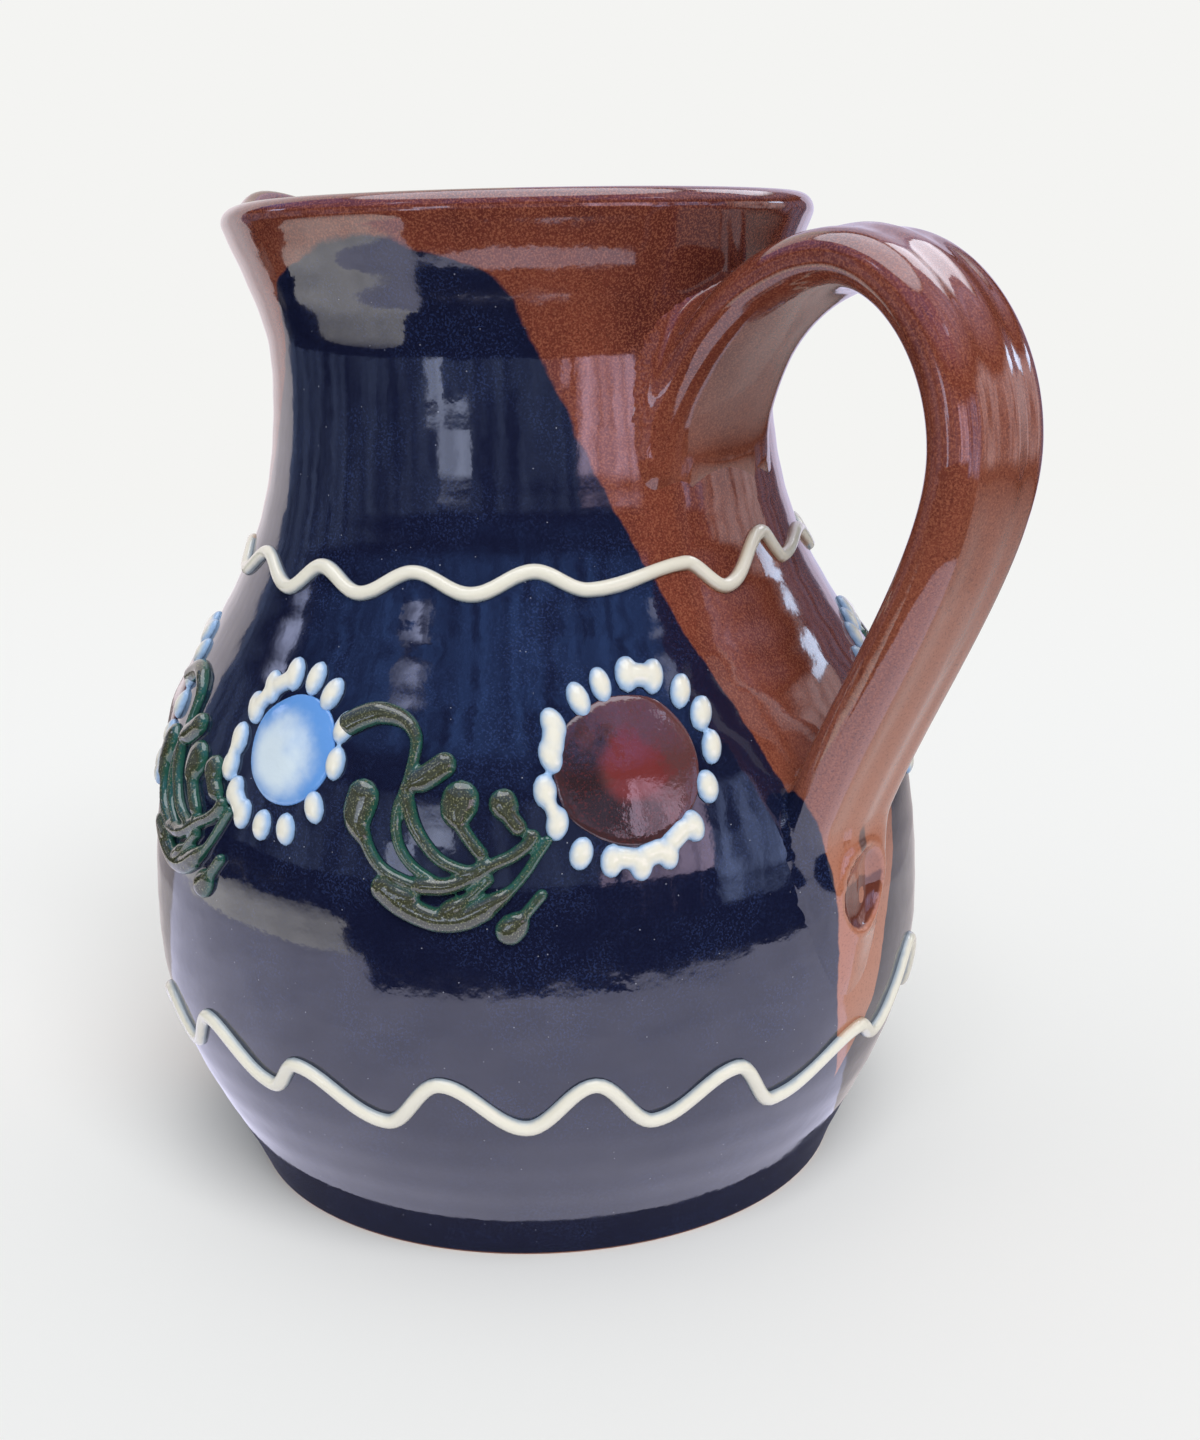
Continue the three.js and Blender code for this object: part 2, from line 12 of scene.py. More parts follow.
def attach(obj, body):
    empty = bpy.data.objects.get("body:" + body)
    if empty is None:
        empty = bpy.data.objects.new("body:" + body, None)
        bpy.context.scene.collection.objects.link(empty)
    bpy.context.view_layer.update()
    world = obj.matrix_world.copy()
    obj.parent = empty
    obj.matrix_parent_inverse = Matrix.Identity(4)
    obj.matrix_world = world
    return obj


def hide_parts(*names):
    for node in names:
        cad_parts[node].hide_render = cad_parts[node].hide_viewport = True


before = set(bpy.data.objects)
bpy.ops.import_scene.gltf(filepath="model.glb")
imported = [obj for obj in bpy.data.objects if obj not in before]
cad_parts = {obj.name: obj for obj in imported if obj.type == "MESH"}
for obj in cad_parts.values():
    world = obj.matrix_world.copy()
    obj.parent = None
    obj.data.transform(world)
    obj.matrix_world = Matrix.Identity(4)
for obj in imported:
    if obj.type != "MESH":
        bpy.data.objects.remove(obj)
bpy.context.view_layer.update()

bl_info = {
    "name": "Earthenware Jug",
    "version": (1, 0, 0),
    "blender": (4, 5, 0),
    "location": "View3D > Sidebar > Jug",
    "description": "Models and glazes a slip-trailed earthenware jug round its packed solids",
    "category": "Object",
}

MM = 0.001
FULL_TURN = 2 * math.pi

# Fineness of the meshes
BODY_SIDES = 192
WALL_STEPS = (36, 72, 28)
LIP_STEPS = 18
EDGE_STEPS = 5
FLOOR_STEPS = 10
STRAP_SIDES = 72
STRAP_RINGS = 260
STRAP_SAMPLES = 40
TRAIL_SIDES = 14
TRAIL_RINGS = 480
DAB_SIDES = 64
DAB_RINGS = 32
DROP_SUBDIVISIONS = 2
SLIP_VOXEL = 0.26 * MM
SLIP_SMOOTHING = 10
SLIP_SETTLING = 0.5
DROP_SPACING = 0.8 * MM
PATH_STEPS = 8
FLOOR_SIDES = 64
CARD_STEPS = 24
FLAT_CARD_STEPS = 96
OVERHEAD_SIDES = 32
WELD = 1e-6

# How full each stretch of the body's outline is, as a share of that stretch's height
FOOT_PULL = 0.3
BELLY_PULL_DOWN = 0.48
BELLY_PULL_UP = 0.585
NECK_PULL_DOWN = 0.5
NECK_PULL_UP = 0.37
RIM_PULL = 0.15
FOOT_FLARE = 0.36
RIM_FLARE = 0.33

# Slopes of the strap's middle line, and how full its bends are as a share of each stretch
ROOT_CLIMB = 0.35
FOOT_FALL = 0.43
STRAP_FULLNESS = 0.53
STRAP_LEAD = 0.35
REACH_LEAD = 0.27
SECTION_ROUNDING = 0.75
# How steeply the clay at the strap's root fans out down the neck
FAN_FALL = 1.0
FAN_SPREAD = 0.55

# The thumb press from its middle, 0, to its edge, 1: how steep and how flat its bowl is, where the clay that
# was pushed up lies, how far that spreads, and where the press ends for the glaze
THUMB_STEEPNESS = 3
THUMB_FLATNESS = 0.8
THUMB_RIM_AT = 1.12
THUMB_RIM_SPREAD = 0.12
THUMB_END = 1.05

# How unevenly the slip came out: share of a width, and how often it changes
TRAIL_FLOW = 0.12
TRAIL_FLOW_RATE = 6
DAB_WAVER = 0.05
DAB_WAVER_RATE = 1.6
PETAL_FLOW = 0.1
PETAL_LEAN = 0.3
# Radius of the ring that a trailed line is spun as, for a section of radius 1
TRAIL_RING = 2
# How flat a dab is, and how far its boss spreads as a share of its radius
DAB_FLATNESS = 0.6
DAB_BOSS_SPREAD = 0.34
# Where along a spray's stroke its width changes, and its greatest height as a share of half its width
STROKE_EASING = (0.08, 0.45)
STROKE_FULLNESS = 1.3

# Turning points of the trailed lines where they were measured: degrees round the jug, mm up.
# The rest of each line swings evenly between its usual heights.
UPPER_TURNS = (
    (-109.8, 120.5), (-96.6, 116.0), (-88.7, 120.1), (-78.2, 116.5), (-67.6, 120.2), (-56.4, 116.9),
    (-45.2, 120.3), (-35.5, 117.1), (-15.6, 119.9), (-8.1, 115.4), (7.6, 122.7), (12.0, 117.9), (28.6, 120.7),
)
LOWER_TURNS = (
    (-106.5, 33.9), (-99.0, 41.8), (-85.9, 33.7), (-81.0, 39.2), (-67.7, 31.4), (-59.7, 39.7), (-48.7, 31.6),
    (-39.8, 39.3), (-31.9, 31.0), (-20.1, 38.3), (-13.4, 29.4), (3.9, 36.4), (9.5, 32.7), (22.5, 44.7),
)
UPPER_SWING = (116.5, 120.3)
LOWER_SWING = (31.4, 39.4)
EVEN_HALF_WAVE = 10.0

# Petals round a red and a blue dab: degrees from the right, mm from the middle
RED_PETALS = (
    (119, 13.7), (101, 14.3), (83, 15.5), (67, 15.9), (48, 15.9), (30, 15.8), (9, 14.8), (-17, 13.5),
    (-46, 13.9), (-71, 14.8), (-89, 15.3), (-107, 14.9), (-126, 15.6), (-149, 14.6), (-171, 14.1),
    (165, 12.8), (144, 13.9),
)
BLUE_PETALS = (
    (151, 12.0), (129, 12.5), (106, 12.9), (84, 12.2), (61, 11.4), (27, 11.1), (-6, 9.9), (-50, 11.4),
    (-81, 13.4), (-104, 13.8), (-124, 14.9), (-142, 14.2), (-161, 14.4), (179, 12.7),
)
# Neighbours in those lists that ran together while the slip was wet, how many mm nearer the dab, and how wide
# the slip is there as a share of a petal's width
RED_JOINED = (
    (2, 3, 0, 1.0), (8, 9, 0.9, 1.0), (9, 10, 1.0, 1.1), (10, 11, 0.8, 1.0), (13, 14, 0, 0.65),
    (15, 16, 0.2, 1.0),
)
BLUE_JOINED = ((0, 1, 0.4, 0.7), (1, 2, 0.4, 0.8), (10, 11, 0, 1.0), (12, 13, 0, 0.6))
JOIN_SHARES = (0.3, 0.5, 0.7)

# Strokes of a leaf spray: points in mm across and up from its middle, width at the start and at the end
SPRAY_STROKES = (
    (((-18.6, 14.2), (-16.2, 15.4), (-13, 16.3), (-9.3, 15.7), (-7.1, 14), (-6.4, 11.4), (-7.6, 5.4),
      (-8.9, 2), (-9.2, -1.3), (-8.4, -4.5), (-6.3, -7.3), (-2.7, -9.6)), 3.9, 2.1),
    (((-7.5, 5.0), (-3.6, 7.4), (-1.6, 8.8)), 2.6, 4.4),
    (((-7.4, 3.4), (-6.4, -0.1), (-4.7, -3), (-2.3, -5.7), (0.4, -7.2), (3.2, -7.8), (5.4, -6.7)), 2.6, 2.4),
    (((-4.6, -10.4), (-0.2, -10.2), (4, -8.4), (6.8, -6.7), (9.7, -5.4), (12.0, -3.7), (12.9, -2.3)),
     3.4, 2.6),
    (((1.3, 3.5), (0.9, 0.8), (2.6, -2.2), (4.8, -5)), 6.6, 2.6),
    (((8.1, 3.0), (9.3, 0.8), (10.6, -0.8)), 5.0, 3.2),
    (((-15.1, 3.3), (-16.0, -0.5), (-14.5, -3.6), (-12.6, -6.9), (-10.2, -8.8), (-6.0, -10.4)), 6.0, 2.4),
    (((-11.0, -11.2), (-8.6, -13.2), (-5.4, -15), (-1.9, -16), (2, -15.6), (5.4, -13.9)), 5.2, 4.4),
    (((4.6, -14.3), (9.2, -11.2), (11.8, -8.3), (13.8, -5.2), (15.3, -3)), 3.8, 1.9),
    (((-0.4, -14.4), (3, -12.0), (6.0, -9.2)), 3.6, 2.2),
    (((-9.6, -12), (-7, -12.6)), 4.6, 4.0),
    (((9.4, -17.6), (11.4, -15.4), (14.4, -11.8)), 5.2, 2.2),
)
SPRAY_SHIFT = 2.45 * MM
SPRAY_NODES = ("stems", "bud", "drop")

# How far the edge of the dark dip strays from a plane: mm up, mm out
DIP_STRAY = (
    (88, -2.2), (97, -1.6), (106, -0.2), (122, 3.1), (152, 3.8), (160, 2.8), (166, 0.9), (169, -1.5),
    (172, -4.3), (190, -12.0),
)
LEFT_DIP_STRAY = ((0, 0.0), (24, -1.2), (42, -3.7), (54, -2.4), (72, -0.6), *DIP_STRAY)
RIGHT_DIP_STRAY = (
    (0, 3.7), (20, 3.7), (33, 0.5), (42, -2.4), (54, -2.6), (66, -3.9), (78, -2.6), *DIP_STRAY,
)
LEFT_DIP_OFFSET = -7.2 * MM
RIGHT_DIP_OFFSET = -15.3 * MM
DIP_STRAY_SPAN = 30.0
DIP_HEIGHT_SPAN = 190.0
# Direction out of the left dip's plane; the right one's has the other sign across
DIP_PLANE = (-0.24, 0.945, 0.222)
DIP_RAGGED = 1.2 * MM
DIP_BLUR = 0.25 * MM

# Heights between which the brown glaze gets thick at the rim, and thin on the body and on the strap
RIM_THICK = (0.166, 0.180)
BODY_THIN = (0.100, 0.045)
STRAP_THIN = (0.165, 0.050)
THINNEST = 0.92
# Across the strap, where it goes from darker brown at its near edge to tan further in
STRAP_EDGE = (-12.5 * MM, -7.5 * MM)
# How far off the skin the dark dip still caught the strap, and how much sooner it ends there
STRAP_DIP_REACH = (6.5 * MM, 5.0 * MM)
STRAP_DIP_LOSS = 0.75
# Painted shade round the strap's root where it meets the neck, drawn as maroon in the brown glaze: place, and
# how far it is full and reaches
ROOT_SHADE = (49.0 * MM, -6.0 * MM, 164.0 * MM)
ROOT_SHADE_REACH = (8.0 * MM, 24.0 * MM)
# Where the glaze that gathered in the thumb press ends
POOL_TOP = 67.0 * MM
POOL_BLUR = 0.5 * MM
# A dark smudge on the strap above it: place across and up, how squat it is, and where it fades
SMUDGE = (1.2 * MM, 72.5 * MM)
SMUDGE_SQUAT = 0.5
SMUDGE_FADE = (1.6 * MM, 0.8 * MM)
# Refraction and roughness of the glaze and of the slips under it
GLAZE_IOR = 1.75
SLIP_IOR = 1.6
GLAZE_ROUGHNESS = (0.05, 0.10)
SLIP_ROUGHNESS = 0.12
RED_ROUGHNESS = 0.08
LEAF_ROUGHNESS = 0.06

# Cards that only reflections show: name, colour, strength, how streaky, and upright arcs round the jug, each
# with its distance as a share of the card radius, lower and upper edge in mm, first and last angle in degrees
REFLECTED_CARDS = (
    ("grey_blue_card", (0.22, 0.29, 0.48), 0.95, 0.9, ((1.0, 0, 330, -170, 95),)),
    ("black_card", (0, 0, 0), 0.0, 0.0, ((0.98, 0, 66, -165, 30),)),
    ("deep_blue_card", (0.13, 0.29, 0.78), 1.3, 0.9, ((1.0, 330, 1500, -170, 12),)),
    ("lilac_card", (0.62, 0.58, 0.85), 1.3, 0.6, ((1.0, 330, 1500, 12, 100),)),
    ("crest_card", (0.86, 0.88, 1.0), 4.0, 0.0, ((0.97, 470, 950, 66, 96),)),
    ("right_card", (0.80, 0.76, 1.0), 1.3, 0.3, ((1.0, -300, 1000, 95, 134),)),
    ("left_card", (1.0, 0.92, 0.97), 1.2, 0.2, ((1.0, -900, 230, 134, 190), (1.0, 230, 2000, 150, 190))),
    ("streak_card", (0.66, 0.74, 1.0), 3.2, 0.3,
     ((0.98, -30, 60, -91, -86), (0.98, 60, 150, -87, -80), (0.98, 150, 280, -82, -69))),
    ("pink_card", (0.95, 0.74, 1.0), 2.7, 0.7, ((0.98, -40, 290, -24, 2), (0.98, 40, 120, -30, -26))),
    ("blue_card", (0.45, 0.58, 1.0), 2.0, 0.95, ((0.97, -20, 300, 2, 33),)),
    ("strap_card", (1.0, 0.80, 0.84), 1.4, 0.9, ((0.97, 20, 330, 34, 70),)),
    ("glint_card", (0.60, 0.76, 1.0), 6.0, 0.4, ((0.96, 246, 296, 60, 70),)),
    ("shoulder_cards", (0.62, 0.68, 1.0), 4.0, 0.9,
     ((0.97, 540, 660, -101, -88), (0.97, 310, 400, -156, -143), (0.97, 545, 625, 5, 14))),
)
# How far the pale floor reaches from the axis, in mm, at angles in degrees
FLOOR_EDGE = (
    (-165, 380), (-150, 450), (-130, 560), (-112, 580), (-103, 540), (-93, 310), (-86, 236), (-52, 232),
    (-26, 238), (30, 256),
)
# Flat cards on the floor: width of the shade round the foot, how far three of them start from the axis as a
# share of the card radius, how streaky they are, and between which of these shares they fade
FOOT_SHADE = 5.0 * MM
DARK_FLOOR = 0.35
RIGHT_FLOOR = 0.39
GREY_PATCH = 0.5
FLOOR_STREAKY = 0.15
FLOOR_FADE = (1 / 3, 1.15)
# The card above: name, colour, strength, how streaky, and between which distances it fades
OVERHEAD_CARD = ("overhead_card", (0.84, 0.87, 1.0), 3.5, 0.2, (1.12, 1.17))
OVERHEAD_HEIGHT = 1.0
# Streaks of the cards: size in metres, stretch along each axis, and which noise is dim and which bright
CARD_STREAK = 1 / 22
CARD_STRETCH = (1, 1, 0.2)
CARD_LEVELS = (0.35, 0.65)
# How much of an upright card's height fades at either edge
CARD_FADE = 0.2
# Where the floor goes over from lit to even, from the axis
EVEN_FLOOR = (0.35, 1.1)
# The key light: how soft it is, how far it stands to the camera's right, and how steep it falls
KEY_SPREAD = math.radians(40)
KEY_ASIDE = 0.2
KEY_STEEPNESS = 1.15
SURROUND = (0.95, 0.97, 1.0, 1.0)
SENSOR_HEIGHT = 36
NEAREST_SEEN = 0.01


def size(name, description, default):
    """A length that a user may change, in metres."""
    return FloatProperty(name=name, description=description, default=default, unit="LENGTH", precision=5)


def turn(name, description, degrees):
    """An angle that a user may change, in radians."""
    return FloatProperty(name=name, description=description, default=math.radians(degrees), subtype="ANGLE")


def tint(name, description, default):
    """A colour that a user may change, as linear red, green and blue."""
    return FloatVectorProperty(
        name=name, description=description, default=default, subtype="COLOR", min=0, max=1,
    )


class JugBodySizes(bpy.types.PropertyGroup):
    """Sizes of the thrown body and its pouring lip."""

    rim_height: size("Rim height", "Top of the rim above the foot", 0.1804)
    rim_radius: size("Rim radius", "Outside of the rolled lip", 0.0538)
    neck_below_rim: size("Neck below rim", "From the rim down to the narrowest place", 0.0294)
    neck_radius: size("Neck radius", "Outside of the narrowest place", 0.0462)
    belly_height: size("Belly height", "Height of the widest place", 0.0507)
    belly_radius: size("Belly radius", "Outside of the widest place", 0.0741)
    foot_radius: size("Foot radius", "Outside of the foot", 0.0576)
    foot_edge: size("Foot edge", "Rounding of the foot's edge", 0.0008)
    wall: size("Wall", "Thickness of the wall", 0.005)
    floor: size("Floor", "Thickness of the floor", 0.008)
    floor_corner: size("Floor corner", "Rounding between the wall and the floor inside", 0.016)
    lip_thickness: size("Lip thickness", "Thickness of the rolled lip", 0.0056)
    lip_proud: size("Lip proud", "How far the lip stands out from the wall", 0.0006)
    lip_flare: size("Lip flare", "From the rim down to where the wall begins to flare into the lip", 0.0244)
    lip_undercut: turn("Lip undercut", "How far the lip's roll turns in underneath", 21)
    spout_angle: turn("Spout angle", "Direction of the pouring lip", -176)
    spout_reach: size("Spout reach", "How far the pouring lip is pulled out", 0.0155)
    spout_rise: size("Spout rise", "How far the tip of the pouring lip rises", 0.0046)
    spout_below_rim: size("Spout below rim", "How far down the pull begins", 0.0484)
    spout_spread: turn("Spout spread", "Width of the pull", 22)
    spout_tip_spread: turn("Spout tip spread", "Width of the raised tip", 13)
    spout_pinch: size("Spout pinch", "How far the rim is pressed in beside the pouring lip", 0.0006)
    spout_pinch_angle: turn("Spout pinch angle", "Where the rim is pressed in", 46)
    ridge: size("Throwing ridge", "Height of the spiral that the fingers left", 0.00004)
    ridge_pitch: size("Ridge pitch", "Climb of that spiral in one turn", 0.0065)
    wobble: size("Wobble", "How far the hand-thrown wall strays from round", 0.00018)


class JugHandleSizes(bpy.types.PropertyGroup):
    """Sizes of the strap handle, its tongue and its thumb press."""

    root_below_rim: size("Root below rim", "Where the strap springs from the neck", 0.0224)
    crest_out: size("Crest out", "Crest of the strap from the neck", 0.029)
    crest_rise: size("Crest rise", "Crest of the strap above its root", 0.0109)
    reach: size("Reach", "Furthest place of the strap past the belly", 0.0236)
    reach_drop: size("Reach drop", "That place below the crest", 0.0289)
    foot_height: size("Foot height", "Where the strap meets the belly", 0.078)
    thumb_below_foot: size("Thumb below foot", "Thumb press below that place", 0.0145)
    tongue_below_thumb: size("Tongue below thumb", "End of the tongue below the thumb press", 0.0165)
    width: size("Width", "Width of the strap", 0.027)
    root_width: size("Root width", "Width at the neck", 0.028)
    foot_width: size("Foot width", "Width at the belly", 0.028)
    tongue_width: size("Tongue width", "Width at the end of the tongue", 0.013)
    thickness: size("Thickness", "Thickness of the strap", 0.0105)
    tongue_proud: size("Tongue proud", "How far the tongue stands off the belly", 0.003)
    buried: size("Buried", "How far the root goes into the wall", 0.004)
    sunk: size("Sunk", "How deep the melted edge lies under the skin", 0.0015)
    root_droop: size("Root droop", "How far the strap's edges sag where they meet the neck", 0.008)
    root_droop_reach: size("Root droop reach", "How far from the neck that begins", 0.018)
    groove_depth: size("Groove depth", "Depth of the two finger grooves", 0.0006)
    groove_offset: size("Groove offset", "Grooves from the middle of the strap", 0.0048)
    groove_width: size("Groove width", "Width of a groove", 0.0064)
    root_under_fillet: size("Fillet under the root", "Clay smoothed in under the root", 0.020)
    root_side_fillet: size("Fillet beside the root", "Clay smoothed in beside the root", 0.012)
    root_top_fillet: size("Fillet over the root", "Clay smoothed in over the root", 0.004)
    foot_crease: size("Foot crease", "Clay smoothed in where the strap meets the belly", 0.001)
    foot_side_fillet: size("Fillet beside the foot", "Clay smeared out beside the tongue", 0.0025)
    thumb_aside: size("Thumb aside", "Thumb press right of the middle of the strap", 0.0022)
    thumb_width: size("Thumb width", "Width of the thumb press", 0.0128)
    thumb_length: size("Thumb length", "Length of the thumb press", 0.0145)
    thumb_depth: size("Thumb depth", "Depth of the thumb press", 0.0024)
    thumb_rim: size("Thumb rim", "Clay pushed up round the thumb press", 0.0003)
    thumb_lean: turn("Thumb lean", "Lean of the thumb press", 12)


class JugSlipSizes(bpy.types.PropertyGroup):
    """Sizes of the trailed slip."""

    trail_width: size("Trail width", "Width of a trailed line", 0.0026)
    trail_lift: size("Trail lift", "Height of a trailed line", 0.0014)
    sunk: size("Sunk", "How deep the slip lies under the skin", 0.0005)
    flower_height: size("Flower height", "Middle of a red flower above the foot", 0.09)
    blue_raise: size("Blue flower raise", "Middle of a blue flower above a red one's", 0.002)
    spray_drop: size("Spray drop", "Middle of a spray below a red flower's", 0.0065)
    red_edge: size("Red flower edge", "Outer edge of a red flower's petals", 0.0175)
    blue_edge: size("Blue flower edge", "Outer edge of a blue flower's petals", 0.0152)
    spray_room: size("Spray room", "Room for a spray between two flowers", 0.0262)
    handle_gap: size("Gap to the handle", "From the strap's foot to the nearest petals", 0.0077)
    red_radius: size("Red dab radius", "Radius of a red dab", 0.0122)
    blue_radius: size("Blue dab radius", "Radius of a blue dab", 0.0092)
    dab_lift: size("Dab lift", "Height of a dab", 0.0009)
    dab_boss: size("Dab boss", "Extra height in the middle of a dab", 0.0005)
    petal_width: size("Petal width", "Width of a petal", 0.0041)
    petal_length: size("Petal length", "Length of a petal", 0.0062)
    petal_lift: size("Petal lift", "Height of a petal", 0.0016)
    stroke_lift: size("Stroke lift", "Height of a spray's strokes", 0.002)


class JugColours(bpy.types.PropertyGroup):
    """Colours of the glazes, slips and clay."""

    brown: tint("Iron brown", "Brown glaze", (0.17, 0.041, 0.026))
    brown_speck: tint("Brown speck", "Light specks in the brown glaze", (0.34, 0.115, 0.064))
    # maroon also stands for the painted shade round the strap's root
    maroon: tint("Maroon", "Brown glaze where it lies thick", (0.085, 0.018, 0.015))
    tan: tint("Tan", "Brown glaze where it lies thin", (0.46, 0.18, 0.108))
    dark: tint("Dark dip", "Dark glaze", (0.0068, 0.0085, 0.027))
    dark_speck: tint("Dark speck", "Blue specks in the dark glaze", (0.020, 0.032, 0.094))
    pin_speck: tint("Pin speck", "Sparse pale pin specks in the dark glaze", (0.30, 0.31, 0.36))
    smudge: tint("Smudge", "Dark smudge on the strap", (0.05, 0.05, 0.06))
    clay: tint("Bare clay", "Unglazed foot", (0.43, 0.19, 0.11))
    cream: tint("Cream slip", "White slip on its crown", (0.76, 0.73, 0.63))
    cream_edge: tint("Cream edge", "White slip at its edge", (0.30, 0.46, 0.70))
    trail_edge: tint("Trail edge", "Trailed lines at their edge on the dark dip", (0.36, 0.42, 0.47))
    trail_edge_brown: tint("Edge on brown", "Trailed lines at their edge on the brown", (0.50, 0.38, 0.28))
    red: tint("Red slip", "Middle of a red dab", (0.165, 0.031, 0.031))
    red_edge: tint("Red edge", "Edge of a red dab", (0.115, 0.044, 0.044))
    red_dark: tint("Red shade", "Dark ring in a red dab", (0.030, 0.017, 0.021))
    blue: tint("Blue slip", "Rim of a blue dab", (0.115, 0.29, 0.66))
    blue_core: tint("Blue core", "Pale core of a blue dab", (0.62, 0.72, 0.80))
    leaf: tint("Leaf slip", "Olive slip on its crown", (0.044, 0.047, 0.028))
    leaf_speck: tint("Leaf speck", "Pale specks on the olive slip", (0.21, 0.215, 0.125))
    leaf_edge: tint("Leaf edge", "Olive slip at its edge", (0.018, 0.085, 0.062))


class JugStage(bpy.types.PropertyGroup):
    """Camera and light of the photo stage."""

    camera_distance: size("Camera distance", "Camera from the jug's axis", 0.339)
    camera_height: size("Camera height", "Camera above the floor", 0.1676)
    camera_turn: turn("Camera turn", "Direction of the camera round the jug", -46)
    camera_pitch: turn("Camera pitch", "How far the camera looks down", 14.15)
    camera_yaw: turn("Camera yaw", "How far the camera looks to the right of the axis", 2.177)
    camera_roll: turn("Camera roll", "Tilt of the picture", -1.371)
    lens: FloatProperty(name="Lens", description="Focal length on a 36 mm high sensor", default=44.558)
    floor_radius: size("Floor radius", "Radius of the pale floor", 3.0)
    wall_height: size("Wall height", "Height of the pale backdrop", 3.5)
    card_radius: size("Card radius", "Cards that the glaze reflects, from the axis", 0.6)
    pale: tint("Pale", "Floor and backdrop", (0.905, 0.905, 0.888))
    key: FloatProperty(name="Key", description="Strength of the key light", default=2.2)
    fill: FloatProperty(name="Fill", description="Strength of the light from all round", default=0.5)


PROPERTY_GROUPS = {
    "jug_body": JugBodySizes,
    "jug_handle": JugHandleSizes,
    "jug_slip": JugSlipSizes,
    "jug_colours": JugColours,
    "jug_stage": JugStage,
}


def clamp(value, low=0.0, high=1.0):
    return max(low, min(high, value))


def lerp(start, end, share):
    return start + (end - start) * share


def smoothstep(value, low, high):
    share = clamp((value - low) / (high - low))
    return share * share * (3 - 2 * share)


def curve_points(knots, steps):
    """Points on a cubic stretch given by its two ends and two handles, without the first."""
    return interpolate_bezier(*knots, steps + 1)[1:]


def outline_at(distance, height):
    """A point of an outline: distance from the axis, height above the foot."""
    return Vector((distance, 0.0, height))


def wall_line(body, inset=0.0):
    """Points up the wall from the foot to the rim, moved in by a thickness where one is given."""
    neck = body.rim_height - body.neck_below_rim
    top = body.rim_radius - body.lip_proud
    foot_run, shoulder_run, rim_run = body.belly_height, neck - body.belly_height, body.neck_below_rim
    foot = outline_at(body.foot_radius - inset, 0)
    belly = outline_at(body.belly_radius - inset, body.belly_height)
    waist = outline_at(body.neck_radius - inset, neck)
    rim = outline_at(top - inset, body.rim_height)
    up = Vector((0, 0, 1))
    foot_lead = Vector((FOOT_FLARE, 0, 1)) * FOOT_PULL * foot_run
    rim_lead = Vector((RIM_FLARE, 0, 1)) * RIM_PULL * rim_run
    stretches = (
        (foot, foot + foot_lead, belly - up * BELLY_PULL_DOWN * foot_run, belly),
        (belly, belly + up * BELLY_PULL_UP * shoulder_run, waist - up * NECK_PULL_DOWN * shoulder_run, waist),
        (waist, waist + up * NECK_PULL_UP * rim_run, rim - rim_lead, rim),
    )
    points = [foot]
    for knots, steps in zip(stretches, WALL_STEPS):
        points += curve_points(knots, steps)
    return points


class Skin:
    """The outside of the thrown wall, which the handle and the slip sit on."""

    reading = 0.5 * MM

    def __init__(self, body):
        self.line = wall_line(body)
        self.heights = [point.z for point in self.line]

    def radius(self, height):
        upper = clamp(bisect.bisect(self.heights, height), 1, len(self.line) - 1)
        low, high = self.line[upper - 1], self.line[upper]
        return lerp(low.x, high.x, (height - low.z) / (high.z - low.z))

    def slope(self, height):
        return (self.radius(height + self.reading) - self.radius(height - self.reading)) / (2 * self.reading)

    def normal(self, point):
        round_axis = Vector((point.x, point.y, 0)).normalized()
        return (round_axis - Vector((0, 0, self.slope(point.z)))).normalized()

    def lift_of(self, point):
        """How far a point stands off the skin; under it is negative."""
        return (math.hypot(point.x, point.y) - self.radius(point.z)) / math.hypot(1, self.slope(point.z))

    def point(self, angle, height, lift=0.0):
        slope = self.slope(height)
        outward = lift / math.hypot(1, slope)
        reach = self.radius(height) + outward
        return Vector((reach * math.cos(angle), reach * math.sin(angle), height - outward * slope))

    def beside(self, middle, across, up, lift):
        """A point beside a motif's middle (angle, height): across and up along the skin, lifted off it."""
        angle, height = middle
        height += up / math.hypot(1, self.slope(height))
        return self.point(angle + across / self.radius(height), height, lift)


def spin_full(bm, geom, steps):
    """Spins an outline a full turn round the axis and closes its seam and poles."""
    bmesh.ops.spin(bm, geom=geom, axis=(0, 0, 1), angle=FULL_TURN, steps=steps, use_merge=True)
    bmesh.ops.remove_doubles(bm, verts=bm.verts, dist=WELD)


def add_piece(name, bm, finish, nodes):
    """Makes the mesh a piece that rides on the jug, stands for its solids and has its finish."""
    bmesh.ops.recalc_face_normals(bm, faces=bm.faces)
    for face in bm.faces:
        face.smooth = True
    mesh = bpy.data.meshes.new(name)
    bm.to_mesh(mesh)
    bm.free()
    mesh.materials.append(finish)
    piece = bpy.data.objects.new(name, mesh)
    bpy.context.scene.collection.objects.link(piece)
    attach(piece, "root")
    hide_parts(*nodes)
    return piece


